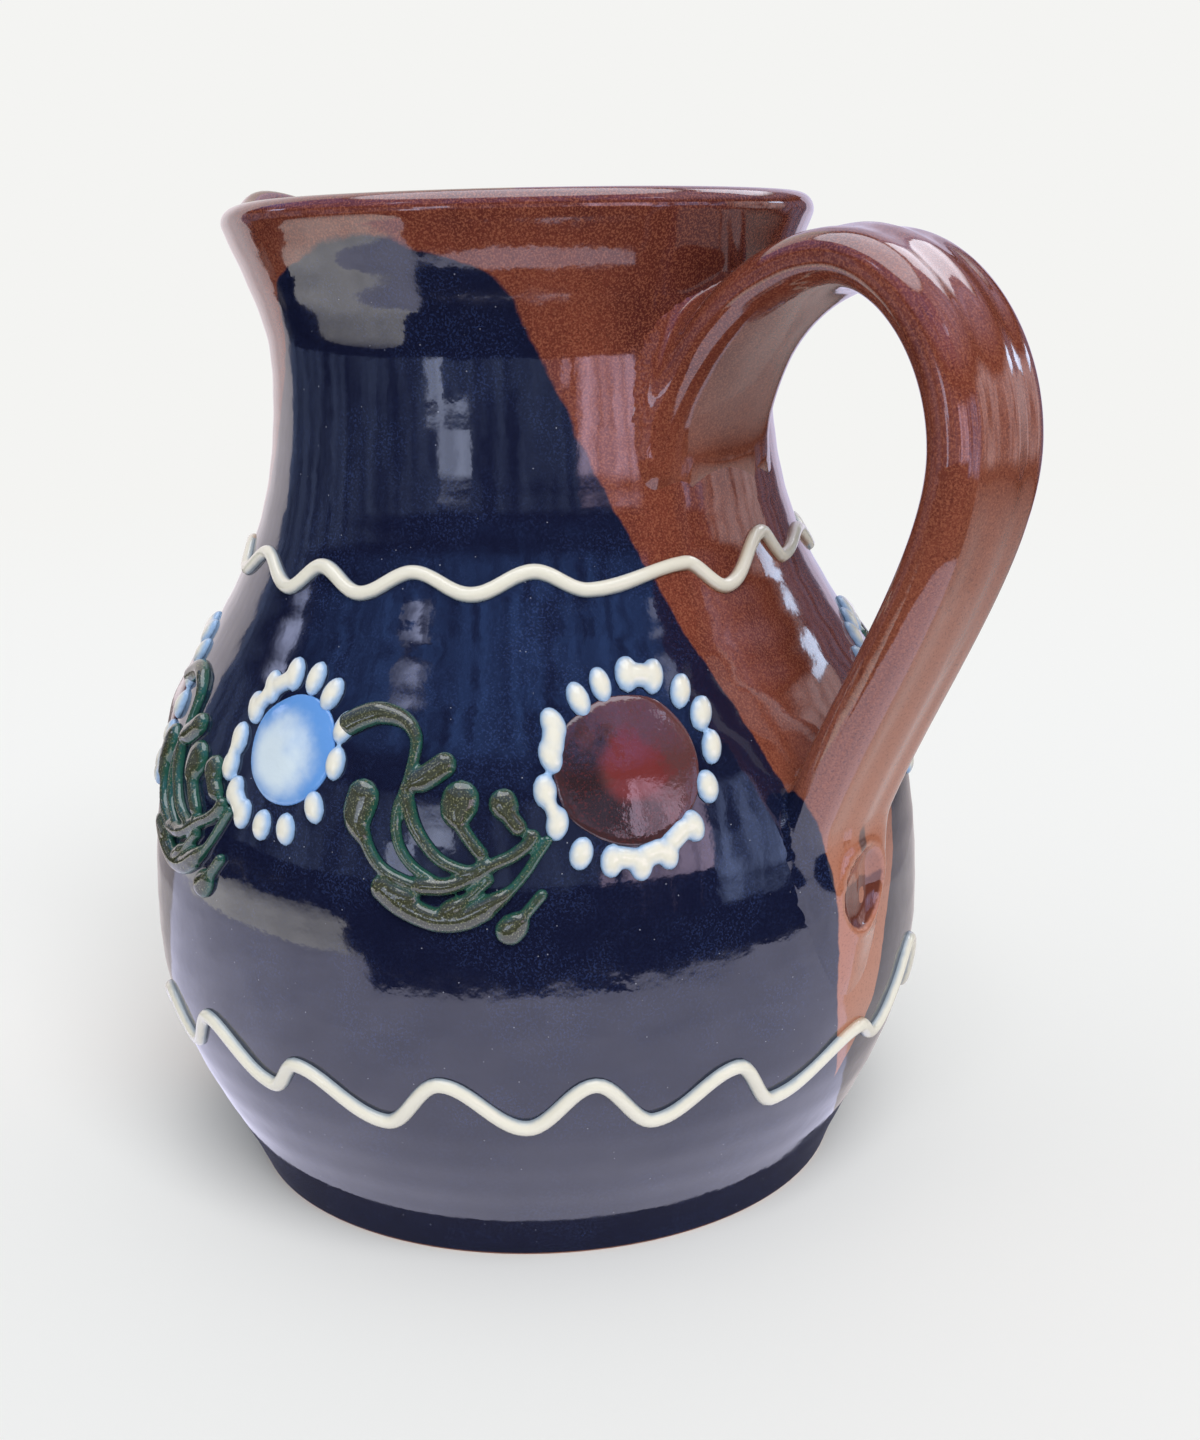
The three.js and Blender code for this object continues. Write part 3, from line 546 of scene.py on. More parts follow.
def body_outline(body):
    """The body's section from the middle of the foot over the lip to the middle of the floor inside.
    Gives the points, and how many of them lie outside."""
    skin = Skin(body)
    edge = body.foot_edge
    half = body.lip_thickness / 2
    lip_foot = body.rim_height - body.lip_flare
    roll = outline_at(body.rim_radius - half, body.rim_height - half)
    corner = outline_at(skin.radius(0), 0)
    foot = (outline_at(body.foot_radius - edge, 0), corner, corner, outline_at(skin.radius(edge), edge))
    underneath = (0, body.foot_radius / 2, body.foot_radius - 2 * edge)
    outside = [outline_at(distance, 0) for distance in underneath] + [foot[0]]
    outside += curve_points(foot, EDGE_STEPS)
    clear_of_edge = 1.5 * edge
    outside += [point for point in skin.line if clear_of_edge < point.z < lip_foot]
    under = roll + half * outline_at(math.cos(body.lip_undercut), -math.sin(body.lip_undercut))
    leave = outline_at(skin.slope(lip_foot), 1) * body.lip_flare / 4
    arrive = outline_at(math.sin(body.lip_undercut), math.cos(body.lip_undercut)) * body.lip_flare / 4
    outside += curve_points((outside[-1], outside[-1] + leave, under - arrive, under), LIP_STEPS)
    for step in range(1, LIP_STEPS + 1):
        angle = lerp(-body.lip_undercut, math.pi, step / LIP_STEPS)
        outside.append(roll + half * outline_at(math.cos(angle), math.sin(angle)))
    bend_top = body.floor + body.floor_corner
    inner = wall_line(body, body.wall)
    inside = [p for p in reversed(inner) if bend_top < p.z < body.rim_height - 2 * body.lip_thickness]
    low = outline_at(skin.radius(body.floor) - body.wall, body.floor)
    bend_start = outline_at(skin.radius(bend_top) - body.wall, bend_top)
    bend = (bend_start, low, low, low - outline_at(body.floor_corner, 0))
    inside += [bend_start] + curve_points(bend, FLOOR_STEPS) + [outline_at(0, body.floor)]
    return outside + inside, len(outside) - LIP_STEPS // 2


def pull_spout(point, body):
    """Where a point of the turned body goes when the pouring lip is pulled out of the rim."""
    start = body.rim_height - body.spout_below_rim
    climb = clamp((point.z - start) / body.spout_below_rim) ** 2
    way = Vector((math.cos(body.spout_angle), math.sin(body.spout_angle), 0))
    off = abs(math.atan2(way.x * point.y - way.y * point.x, way.x * point.x + way.y * point.y))
    pull = climb * math.exp(-((off / body.spout_spread) ** 2))
    lift = climb * math.exp(-((off / body.spout_tip_spread) ** 2))
    pinch = climb * math.exp(-(((off - body.spout_pinch_angle) / body.spout_spread) ** 2))
    radius = max(math.hypot(point.x, point.y), WELD)
    inward = Vector((point.x, point.y, 0)) * (body.spout_pinch * pinch / radius)
    rise = Vector((0, 0, body.spout_rise * lift - body.spout_pinch * pinch))
    return point - inward + way * (body.spout_reach * pull) + rise


def thrown_by_hand(point, body):
    """Where a point of the wall goes with the throwing spiral and the wall's slight wobble."""
    radius = math.hypot(point.x, point.y)
    if radius < body.foot_radius / 2:
        return point
    spiral = FULL_TURN * point.z / body.ridge_pitch + math.atan2(point.y, point.x)
    stray = body.ridge * math.sin(spiral) + body.wobble * noise.noise(point / body.belly_height)
    return point + Vector((point.x, point.y, 0)) * (stray / radius)


class JUG_OT_body(bpy.types.Operator):
    """Turns the body, pulls its pouring lip and dips it in its two glazes"""

    bl_idname = "jug.body"
    bl_label = "Body"

    def execute(self, context):
        body = context.scene.jug_body
        bm = bmesh.new()
        outside = bm.verts.layers.float.new("outside")
        points, outer_count = body_outline(body)
        verts = [bm.verts.new(point) for point in points]
        for count, vert in enumerate(verts):
            vert[outside] = 1.0 if count < outer_count else 0.0
        edges = [bm.edges.new(pair) for pair in zip(verts, verts[1:])]
        spin_full(bm, verts + edges, BODY_SIDES)
        for vert in bm.verts:
            vert.co = pull_spout(thrown_by_hand(vert.co, body), body)
        add_piece("glazed_body", bm, body_finish(context.scene.jug_colours), ["jug_body"])
        return {"FINISHED"}


def strap_line(handle, body, skin):
    """The strap's middle line as points, the length up to each and up to the end of each stretch."""
    half = handle.thickness / 2
    thumb = handle.foot_height - handle.thumb_below_foot
    tongue = thumb - handle.tongue_below_thumb
    root_height = body.rim_height - handle.root_below_rim
    root = outline_at(skin.radius(root_height), root_height)
    crest = outline_at(body.neck_radius + handle.crest_out, root_height + handle.crest_rise)
    reach = outline_at(body.belly_radius + handle.reach, crest.z - handle.reach_drop)
    foot = outline_at(skin.radius(handle.foot_height), handle.foot_height)
    smear = outline_at(skin.radius(thumb) + handle.tongue_proud - half, thumb)
    end = outline_at(skin.radius(tongue) - half, tongue)
    climb, fall = Vector((1, 0, ROOT_CLIMB)), Vector((-FOOT_FALL, 0, -1))
    buried = root - climb * handle.buried
    lead = STRAP_LEAD * (crest.x - root.x)
    drop = reach.z - foot.z
    settle = STRAP_LEAD * (foot.z - smear.z)
    sink = outline_at(smear.x, lerp(smear.z, end.z, STRAP_FULLNESS))
    stretches = (
        (buried, buried.lerp(root, 1 / 3), buried.lerp(root, 2 / 3), root),
        (root, root + climb * lead, crest - outline_at(lead, 0), crest),
        (crest, outline_at(lerp(crest.x, reach.x, STRAP_FULLNESS), crest.z),
         outline_at(reach.x, lerp(reach.z, crest.z, STRAP_FULLNESS)), reach),
        (reach, reach - outline_at(0, REACH_LEAD * drop), foot - fall * (STRAP_LEAD * drop), foot),
        (foot, foot + fall * settle, smear + outline_at(0, settle), smear),
        (smear, smear.lerp(sink, 2 / 3), end.lerp(sink, 2 / 3), end),
    )
    points, lengths, knot_lengths = [buried], [0.0], []
    for knots in stretches:
        for point in curve_points(knots, STRAP_SAMPLES):
            lengths.append(lengths[-1] + (point - points[-1]).length)
            points.append(point)
        knot_lengths.append(lengths[-1])
    return points, lengths, knot_lengths


def station(points, lengths, along):
    """The point and the direction of a line at a distance along it."""
    upper = clamp(bisect.bisect(lengths, along), 1, len(points) - 1)
    low, high = points[upper - 1], points[upper]
    share = (along - lengths[upper - 1]) / (lengths[upper] - lengths[upper - 1])
    before, after = points[max(upper - 2, 0)], points[min(upper + 1, len(points) - 1)]
    return low.lerp(high, share), (high - before).lerp(after - low, share).normalized()


def eased(stations, along):
    """A value that eases from station to station along a line."""
    for (start, low), (end, high) in zip(stations, stations[1:]):
        if along <= end:
            return lerp(low, high, smoothstep(along, start, end))
    return stations[-1][1]


def melt_in(point, away, reach, sunk, skin):
    """Where a point of the strap near the wall goes when its clay is smoothed away along the wall."""
    lift = skin.lift_of(point)
    near = clamp(1 - lift / reach)
    spread = reach * (1 - math.sqrt(1 - near * near))
    normal = skin.normal(point)
    along_skin = away - normal * away.dot(normal)
    moved = point + along_skin.normalized() * spread
    return moved + skin.normal(moved) * (max(lift, -sunk) - skin.lift_of(moved))


def press_thumb(point, handle, skin):
    """Where a point of the tongue goes under the pressing thumb, and how far inside the press it is."""
    middle = handle.foot_height - handle.thumb_below_foot
    if point.x < 0 or abs(point.z - middle) > handle.thumb_length:
        return point, 0.0
    lean = handle.thumb_lean
    aside = point.y - handle.thumb_aside
    across = aside * math.cos(lean) - (point.z - middle) * math.sin(lean)
    along = aside * math.sin(lean) + (point.z - middle) * math.cos(lean)
    off = math.hypot(across / (handle.thumb_width / 2), along / (handle.thumb_length / 2))
    sink = handle.thumb_depth * max(0.0, 1 - off ** THUMB_STEEPNESS) ** THUMB_FLATNESS
    rim = handle.thumb_rim * math.exp(-(((off - THUMB_RIM_AT) / THUMB_RIM_SPREAD) ** 2))
    return point + skin.normal(point) * (rim - sink), clamp(THUMB_END - off)


class JUG_OT_handle(bpy.types.Operator):
    """Pulls the strap handle, smooths its ends on to the body and presses the thumb in"""

    bl_idname = "jug.handle"
    bl_label = "Handle"

    def execute(self, context):
        body, handle = context.scene.jug_body, context.scene.jug_handle
        skin = Skin(body)
        points, lengths, knots = strap_line(handle, body, skin)
        root, crest, reach, foot, thumb, end = knots
        widths = (
            (0, handle.root_width), (root, handle.root_width), (crest, handle.width), (reach, handle.width),
            (foot, handle.foot_width), (end, handle.tongue_width),
        )
        tongue = ((reach, handle.foot_crease), (foot, handle.foot_crease), (thumb, handle.foot_side_fillet))
        under = ((0, handle.root_under_fillet), (crest, handle.root_under_fillet)) + tongue
        beside = ((0, handle.root_side_fillet), (crest, handle.root_side_fillet)) + tongue
        over = ((0, handle.root_top_fillet), (crest, handle.root_top_fillet)) + tongue

        def placed(turned, along):
            """A point round the strap's section, its place on the strap and how far it is pressed."""
            middle, ahead = station(points, lengths, along)
            out = Vector((-ahead.z, 0, ahead.x))
            side = math.copysign(abs(math.cos(turned)) ** SECTION_ROUNDING, math.cos(turned))
            face = math.copysign(abs(math.sin(turned)) ** SECTION_ROUNDING, math.sin(turned))
            across = side * eased(widths, along) / 2
            groove = math.exp(-(((abs(across) - handle.groove_offset) / handle.groove_width * 2) ** 2))
            lift = face * handle.thickness / 2 - max(0.0, face) * handle.groove_depth * groove
            point = middle + out * lift + Vector((0, across, 0))
            at_root = 1 - smoothstep(along, root, crest)
            near_root = clamp(1 - skin.lift_of(point) / handle.root_droop_reach) * at_root
            droop = near_root * near_root * side * side
            point -= Vector((0, 0, handle.root_droop * droop))
            tilt = math.sin(turned) - FAN_FALL * at_root * abs(math.cos(turned))
            away = out * tilt + Vector((0, math.cos(turned) * lerp(1, FAN_SPREAD, at_root), 0))
            facing = eased(under if face < 0 else over, along)
            fillet = lerp(eased(beside, along), facing, abs(math.sin(turned)))
            melted = melt_in(point, away, fillet, handle.sunk, skin)
            point, press = press_thumb(melted, handle, skin)
            lift = skin.lift_of(point)
            with_wall = clamp(2 - lift / MM)
            return point.lerp(thrown_by_hand(point, body), with_wall), (across, along, lift), press

        bm = bmesh.new()
        around = bm.verts.layers.float.new("strap_turn")
        strap_place = bm.verts.layers.float_vector.new("strap_place")
        thumb_press = bm.verts.layers.float.new("thumb_press")
        ring = bmesh.ops.create_circle(bm, radius=1.0, segments=STRAP_SIDES)["verts"]
        for vert in ring:
            vert[around] = math.atan2(vert.co.y, vert.co.x)
        edges = list(bm.edges)
        for count in range(STRAP_RINGS + 1):
            along = end * count / STRAP_RINGS
            for vert in ring:
                vert.co, vert[strap_place], vert[thumb_press] = placed(vert[around], along)
            if count < STRAP_RINGS:
                made = bmesh.ops.extrude_edge_only(bm, edges=edges)["geom"]
                ring = [item for item in made if isinstance(item, bmesh.types.BMVert)]
                edges = [edge for edge in made if isinstance(edge, bmesh.types.BMEdge)
                         and all(vert in ring for vert in edge.verts)]
        caps = bmesh.ops.holes_fill(bm, edges=bm.edges, sides=0)["faces"]
        bmesh.ops.poke(bm, faces=caps)
        add_piece("strap_handle", bm, handle_finish(context.scene.jug_colours), ["handle"])
        return {"FINISHED"}


def full_wave(turns, swing):
    """The measured turning points, in radians and metres, carried on evenly round the rest of the jug."""
    start, end = turns[-1][0], turns[0][0] + 360
    low, high = swing
    last_is_peak = turns[-1][1] > turns[-2][1]
    first_is_peak = turns[0][1] > turns[1][1]
    halves = round((end - start) / EVEN_HALF_WAVE)
    if (halves % 2 == 0) != (last_is_peak == first_is_peak):
        halves += 1
    hidden = []
    for count in range(1, halves):
        is_peak = last_is_peak == (count % 2 == 0)
        hidden.append((lerp(start, end, count / halves), high if is_peak else low))
    closed = list(turns) + hidden + [(end, turns[0][1])]
    return [(math.radians(angle), height * MM) for angle, height in closed]


def wave_height(turns, angle):
    """Height of a wavy line at an angle, eased between its turning points."""
    angle = turns[0][0] + (angle - turns[0][0]) % FULL_TURN
    for (start, low), (end, high) in zip(turns, turns[1:]):
        if angle <= end:
            return lerp(low, high, (1 - math.cos(math.pi * (angle - start) / (end - start))) / 2)
    return turns[-1][1]


class JUG_OT_trails(bpy.types.Operator):
    """Trails the two wavy white lines round the body"""

    bl_idname = "jug.trails"
    bl_label = "Wavy Lines"

    def execute(self, context):
        slip = context.scene.jug_slip
        skin = Skin(context.scene.jug_body)
        finish = trail_finish(context.scene.jug_colours)
        waves = {"upper_wave": (UPPER_TURNS, UPPER_SWING), "lower_wave": (LOWER_TURNS, LOWER_SWING)}
        for name, (turns, swing) in waves.items():
            self.trail(name, full_wave(turns, swing), slip, skin, finish)
        return {"FINISHED"}

    def trail(self, name, turns, slip, skin, finish):
        bm = bmesh.new()
        crown = bm.verts.layers.float.new("crown")
        upright = Matrix.Translation((TRAIL_RING, 0, 0)) @ Matrix.Rotation(math.pi / 2, 4, "X")
        section = bmesh.ops.create_circle(bm, radius=1.0, segments=TRAIL_SIDES, matrix=upright)["verts"]
        spin_full(bm, section + list(bm.edges), TRAIL_RINGS)
        step = FULL_TURN / TRAIL_RINGS
        for vert in bm.verts:
            out, side = math.hypot(vert.co.x, vert.co.y) - TRAIL_RING, vert.co.z
            angle = math.atan2(vert.co.y, vert.co.x)
            height = wave_height(turns, angle)
            climb = wave_height(turns, angle + step) - wave_height(turns, angle - step)
            rise = climb / (2 * step * skin.radius(height))
            around = Vector((math.cos(angle), math.sin(angle), height))
            flow = 1 + TRAIL_FLOW * noise.noise(around * TRAIL_FLOW_RATE)
            across = side * flow * slip.trail_width / 2 / math.hypot(1, rise)
            lift = out * flow * slip.trail_lift if out > 0 else out * slip.sunk
            vert[crown] = max(0.0, out)
            vert.co = skin.beside((angle, height), -across * rise, across, lift)
        add_piece(name, bm, finish, [f"{name}_trail"])


def panel_places(slip, skin):
    """Middles (angle, height) of the flowers, with their colours, and of the sprays, by name."""
    radius = skin.radius(slip.flower_height)
    strap_foot = bpy.context.scene.jug_handle.foot_width / 2
    first = (strap_foot + slip.handle_gap + slip.red_edge) / radius
    pitch = (slip.red_edge + slip.spray_room + slip.blue_edge) / radius
    offset = (slip.red_edge - slip.blue_edge) / 2 / radius
    flowers, sprays = {}, {}
    for name, side in (("left", -1), ("right", 1)):
        middle = side * (first + pitch)
        flowers[f"{name}_flower_1"] = ("red", (middle - pitch, slip.flower_height))
        flowers[f"{name}_flower_2"] = ("blue", (middle, slip.flower_height + slip.blue_raise))
        flowers[f"{name}_flower_3"] = ("red", (middle + pitch, slip.flower_height))
        low = slip.flower_height - slip.spray_drop
        sprays[f"{name}_spray_1"] = (middle - pitch / 2 + offset, low)
        sprays[f"{name}_spray_2"] = (middle + pitch / 2 - offset, low)
    return flowers, sprays


class JUG_OT_dabs(bpy.types.Operator):
    """Dabs the red and blue middles of the flowers"""

    bl_idname = "jug.dabs"
    bl_label = "Flower Dabs"

    def execute(self, context):
        slip, colours = context.scene.jug_slip, context.scene.jug_colours
        skin = Skin(context.scene.jug_body)
        finishes = {"red": red_finish(colours), "blue": blue_finish(colours)}
        radii = {"red": slip.red_radius, "blue": slip.blue_radius}
        flowers, _ = panel_places(slip, skin)
        for name, (colour, middle) in flowers.items():
            bm = bmesh.new()
            off_middle = bm.verts.layers.float_vector.new("dab_place")
            bmesh.ops.create_uvsphere(bm, u_segments=DAB_SIDES, v_segments=DAB_RINGS, radius=1.0)
            for vert in bm.verts:
                across, up, out = vert.co
                off = math.hypot(across, up)
                edge = 1 + DAB_WAVER * noise.noise(Vector((across, up, middle[0])) * DAB_WAVER_RATE)
                boss = slip.dab_boss * math.exp(-((off / DAB_BOSS_SPREAD) ** 2))
                lift = slip.dab_lift * out ** DAB_FLATNESS + boss if out > 0 else out * slip.sunk
                vert[off_middle] = (across, up, off)
                vert.co = skin.beside(middle, across * edge * radii[colour], up * edge * radii[colour], lift)
            add_piece(f"{name}_dab", bm, finishes[colour], [f"{name}_centre"])
        return {"FINISHED"}


class WetSlip:
    """Drops of slip on the skin that run together into one piece."""

    def __init__(self, skin, middle, sunk):
        self.bm = bmesh.new()
        self.skin = skin
        self.middle = middle
        self.sunk = sunk

    def drop(self, across, up, half_width, half_length, lift, lean=0.0):
        """Adds an oval drop, leaning from upright."""
        made = bmesh.ops.create_icosphere(self.bm, subdivisions=DROP_SUBDIVISIONS, radius=1.0)["verts"]
        for vert in made:
            wide, long, out = vert.co.x * half_width, vert.co.y * half_length, vert.co.z
            side = across + wide * math.cos(lean) - long * math.sin(lean)
            rise = up + wide * math.sin(lean) + long * math.cos(lean)
            vert.co = self.skin.beside(self.middle, side, rise, out * (lift if out > 0 else self.sunk))

    def stroke(self, points, start_width, end_width, lift):
        """Adds a run of drops along a smooth path whose width eases from start to end."""
        path = smooth_path(points)
        lengths = [0.0]
        for before, after in zip(path, path[1:]):
            lengths.append(lengths[-1] + (after - before).length)
        count = max(2, round(lengths[-1] / DROP_SPACING))
        for step in range(count + 1):
            share = step / count
            place, _ = station(path, lengths, lengths[-1] * share)
            half = lerp(start_width, end_width, smoothstep(share, *STROKE_EASING)) / 2
            height = min(lift, STROKE_FULLNESS * half)
            self.drop(place.x, place.y, half, half, height)

    def piece(self, name, finish, slot, nodes):
        """Lets the drops run together, and marks how high each place stands off the skin."""
        piece = add_piece(name, self.bm, finish, nodes)
        remesh = piece.modifiers.new("run_together", "REMESH")
        remesh.mode = "VOXEL"
        remesh.voxel_size = SLIP_VOXEL
        remesh.use_smooth_shade = True
        smooth = piece.modifiers.new("settle", "SMOOTH")
        smooth.factor = SLIP_SETTLING
        smooth.iterations = SLIP_SMOOTHING
        settled = piece.evaluated_get(bpy.context.evaluated_depsgraph_get())
        mesh = bpy.data.meshes.new_from_object(settled)
        piece.modifiers.clear()
        rough = piece.data
        piece.data = mesh
        bpy.data.meshes.remove(rough)
        mesh.name = name
        crown = mesh.attributes.new("crown", "FLOAT", "POINT")
        lifts = [self.skin.lift_of(vert.co) for vert in mesh.vertices]
        highest = max(lifts)
        crown.data.foreach_set("value", [clamp(lift / highest) for lift in lifts])


def smooth_path(points):
    """A smooth line through points given in mm, as cubic stretches."""
    knots = [Vector((across, up, 0)) * MM for across, up in points]
    ends = [2 * knots[0] - knots[1]] + knots + [2 * knots[-1] - knots[-2]]
    path = [knots[0]]
    for before, start, end, after in zip(ends, ends[1:], ends[2:], ends[3:]):
        path += curve_points((start, start + (end - before) / 6, end - (after - start) / 6, end), PATH_STEPS)
    return path


class JUG_OT_petals(bpy.types.Operator):
    """Drops the ring of white petals round each flower"""

    bl_idname = "jug.petals"
    bl_label = "Petals"

    def execute(self, context):
        slip, colours = context.scene.jug_slip, context.scene.jug_colours
        skin = Skin(context.scene.jug_body)
        finish = petal_finish(colours)
        rings = {"red": (RED_PETALS, RED_JOINED), "blue": (BLUE_PETALS, BLUE_JOINED)}
        flowers, _ = panel_places(slip, skin)
        for name, (colour, middle) in flowers.items():
            petals, joined = rings[colour]
            wet = WetSlip(skin, middle, slip.sunk)
            places = []
            for degrees, distance in petals:
                angle = math.radians(degrees)
                place = Vector((math.cos(angle), math.sin(angle))) * distance * MM
                fat = 1 + PETAL_FLOW * noise.noise(Vector((degrees, distance, middle[0])))
                lean = PETAL_LEAN * math.sin(2 * angle)
                places.append(place)
                wet.drop(*place, slip.petal_width / 2 * fat, slip.petal_length / 2, slip.petal_lift, -lean)
            for one, other, nearer, fullness in joined:
                half = slip.petal_width / 2 * fullness
                for share in JOIN_SHARES:
                    bridge = places[one].lerp(places[other], share)
                    bridge -= bridge.normalized() * nearer * MM
                    wet.drop(*bridge, half, half, slip.petal_lift)
            nodes = [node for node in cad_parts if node.startswith(f"{name}_petals_")]
            wet.piece(f"{name}_petal_ring", finish, "white_slip", nodes)
        return {"FINISHED"}


class JUG_OT_sprays(bpy.types.Operator):
    """Trails the leaf sprays between the flowers"""

    bl_idname = "jug.sprays"
    bl_label = "Leaf Sprays"

    def execute(self, context):
        slip = context.scene.jug_slip
        skin = Skin(context.scene.jug_body)
        finish = leaf_finish(context.scene.jug_colours)
        _, sprays = panel_places(slip, skin)
        for name, (angle, height) in sprays.items():
            shift = SPRAY_SHIFT / skin.radius(height)
            wet = WetSlip(skin, (angle + shift, height), slip.sunk)
            for points, start_width, end_width in SPRAY_STROKES:
                wet.stroke(points, start_width * MM, end_width * MM, slip.stroke_lift)
            wet.piece(f"{name}_leaves", finish, "leaf_slip", [f"{name}_{part}" for part in SPRAY_NODES])
        return {"FINISHED"}


class Nodes:
    """A material whose nodes are added one call at a time."""

    def __init__(self, name):
        self.material = bpy.data.materials.new(name)
        self.material.use_nodes = True
        self.tree = self.material.node_tree
        self.place = self.add("ShaderNodeTexCoord").outputs["Object"]

    def add(self, kind, values=(), **settings):
        """Adds a node, sets it up and feeds its inputs with numbers, colours or other nodes' outputs."""
        node = self.tree.nodes.new(kind)
        for key, value in settings.items():
            setattr(node, key, value)
        for key, value in dict(values).items():
            self.feed(node.inputs[key], value)
        return node

    def feed(self, socket, value):
        if isinstance(value, bpy.types.NodeSocket):
            self.tree.links.new(value, socket)
        elif hasattr(value, "__len__") and len(socket.default_value) > len(value):
            socket.default_value = (*value, 1.0)
        else:
            socket.default_value = value

    def show(self, surface):
        """Makes another shader the material's surface."""
        self.tree.nodes.remove(self.tree.nodes["Principled BSDF"])
        self.feed(self.tree.nodes["Material Output"].inputs["Surface"], surface)

    def math(self, operation, first, second=0.0, clamped=False):
        settings = {"operation": operation, "use_clamp": clamped}
        return self.add("ShaderNodeMath", {0: first, 1: second}, **settings).outputs[0]

    def distance(self, place, middle=(0, 0, 0)):
        return self.add("ShaderNodeVectorMath", {0: place, 1: middle}, operation="DISTANCE").outputs["Value"]

    def dot(self, place, way):
        return self.add("ShaderNodeVectorMath", {0: place, 1: way}, operation="DOT_PRODUCT").outputs["Value"]

    def step(self, value, low, high, start=0.0, end=1.0, easing="SMOOTHSTEP"):
        """Goes from start to end as the value goes from low to high."""
        values = {"Value": value, "From Min": low, "From Max": high, "To Min": start, "To Max": end}
        return self.add("ShaderNodeMapRange", values, interpolation_type=easing).outputs["Result"]

    def stretched(self, scale):
        """Object coordinates stretched by a scale along each axis."""
        return self.add("ShaderNodeMapping", {"Vector": self.place, "Scale": scale}).outputs["Vector"]

    def noise(self, grain, detail=2.0, roughness=0.5, place=None):
        """Cloudy noise from 0 to 1 with patches about as large as the grain, in metres."""
        values = {"Vector": place or self.place, "Scale": 1 / grain, "Detail": detail, "Roughness": roughness}
        return self.add("ShaderNodeTexNoise", values).outputs["Fac"]


class Finish(Nodes):
    """The glazed or slipped surface of a piece."""

    def __init__(self, name, ior):
        super().__init__(name)
        self.shader = self.tree.nodes["Principled BSDF"]
        self.set("IOR", ior)

    def set(self, socket, value):
        self.feed(self.shader.inputs[socket], value)

    def mix(self, share, first, second):
        values = {0: share, 6: first, 7: second}
        return self.add("ShaderNodeMix", values, data_type="RGBA").outputs[2]

    def attribute(self, name, output="Fac"):
        return self.add("ShaderNodeAttribute", attribute_name=name).outputs[output]

    def cells(self, grain):
        """Distance to the nearest of points scattered about a grain apart, as a share of the grain."""
        values = {"Vector": self.place, "Scale": 1 / grain}
        return self.add("ShaderNodeTexVoronoi", values).outputs["Distance"]

    def bump(self, height, distance):
        values = {"Height": height, "Distance": distance}
        self.set("Normal", self.add("ShaderNodeBump", values).outputs["Normal"])

    def height(self):
        return self.add("ShaderNodeSeparateXYZ", {0: self.place}).outputs["Z"]


def dip_mask(finish, side, offset, strays, held_off):
    """1 where the jug was dipped in the dark glaze on one side: -1 is the left side, 1 the right.
    A place that is held off the skin catches less of it."""
    height = finish.height()
    curve = finish.add("ShaderNodeFloatCurve", {"Value": finish.math("DIVIDE", height, DIP_HEIGHT_SPAN * MM)})
    line = curve.mapping.curves[0]
    places = [(up / DIP_HEIGHT_SPAN, 0.5 + stray / DIP_STRAY_SPAN) for up, stray in strays]
    line.points[0].location, line.points[-1].location = places[0], places[-1]
    for place in places[1:-1]:
        line.points.new(*place)
    curve.mapping.update()
    stray = finish.math("MULTIPLY", finish.math("SUBTRACT", curve.outputs["Value"], 0.5), DIP_STRAY_SPAN * MM)
    ahead, across, rise = DIP_PLANE
    off = finish.dot(finish.place, (ahead, -side * across, rise))
    ragged = finish.math("MULTIPLY", finish.math("SUBTRACT", finish.noise(4 * MM, 3), 0.5), DIP_RAGGED)
    off = finish.math("SUBTRACT", finish.math("ADD", off, ragged), stray)
    off = finish.math("ADD", off, held_off)
    return finish.step(off, offset - DIP_BLUR, offset + DIP_BLUR, 1.0, 0.0)


def dip_masks(finish, held_off=0.0):
    """1 where either dark dip reached."""
    left = dip_mask(finish, -1, LEFT_DIP_OFFSET, LEFT_DIP_STRAY, held_off)
    return finish.math("MAXIMUM", left, dip_mask(finish, 1, RIGHT_DIP_OFFSET, RIGHT_DIP_STRAY, held_off))


def brown_glaze(finish, colours, thin, root_shade):
    """The brown glaze's colour: cloudy, with fine specks, thick at the rim, tan where it lies thin, and
    darkened to maroon round the strap's root as painted shade.
    """
    streaks = finish.noise(9 * MM, 3, 0.55, finish.stretched((1, 1, 0.25)))
    at_rim = finish.step(finish.height(), *RIM_THICK, 0, 0.55)
    thick = finish.math("ADD", at_rim, finish.step(streaks, 0.42, 0.72, 0, 0.55))
    # painted shade: the brown darkens to maroon round the strap's root, where the strap shades the neck
    off_root = finish.distance(finish.place, ROOT_SHADE)
    thick = finish.math("ADD", thick, finish.step(off_root, *reversed(ROOT_SHADE_REACH), 0, root_shade))
    brown = finish.mix(finish.math("MULTIPLY", thick, 1.0, True), colours.brown, colours.maroon)
    light_specks = finish.step(finish.noise(0.34 * MM, 2, 0.6), 0.44, 0.64, 0, 0.62)
    other_grain = finish.noise(0.42 * MM, 2, 0.6, finish.stretched((1.1, 0.9, 1.05)))
    dark_specks = finish.step(other_grain, 0.53, 0.68, 0, 0.66)
    kept = finish.math("SUBTRACT", 1.0, finish.math("MULTIPLY", thin, 0.6))
    brown = finish.mix(finish.math("MULTIPLY", light_specks, kept), brown, colours.brown_speck)
    brown = finish.mix(thin, brown, colours.tan)
    return finish.mix(finish.math("MULTIPLY", dark_specks, kept), brown, colours.maroon)


def dark_glaze(finish, colours):
    """The dark glaze's colour: almost black, with drifts of fine blue specks."""
    drift = finish.step(finish.noise(14 * MM, 3, 0.6), 0.35, 0.7, 0.1, 0.9)
    specks = finish.step(finish.noise(0.4 * MM, 2, 0.6), 0.45, 0.7)
    dark = finish.mix(finish.math("MULTIPLY", drift, specks), colours.dark, colours.dark_speck)
    pins = finish.step(finish.cells(2.6 * MM), 0.055, 0.03, 0, 0.8)
    return finish.mix(pins, dark, colours.pin_speck)


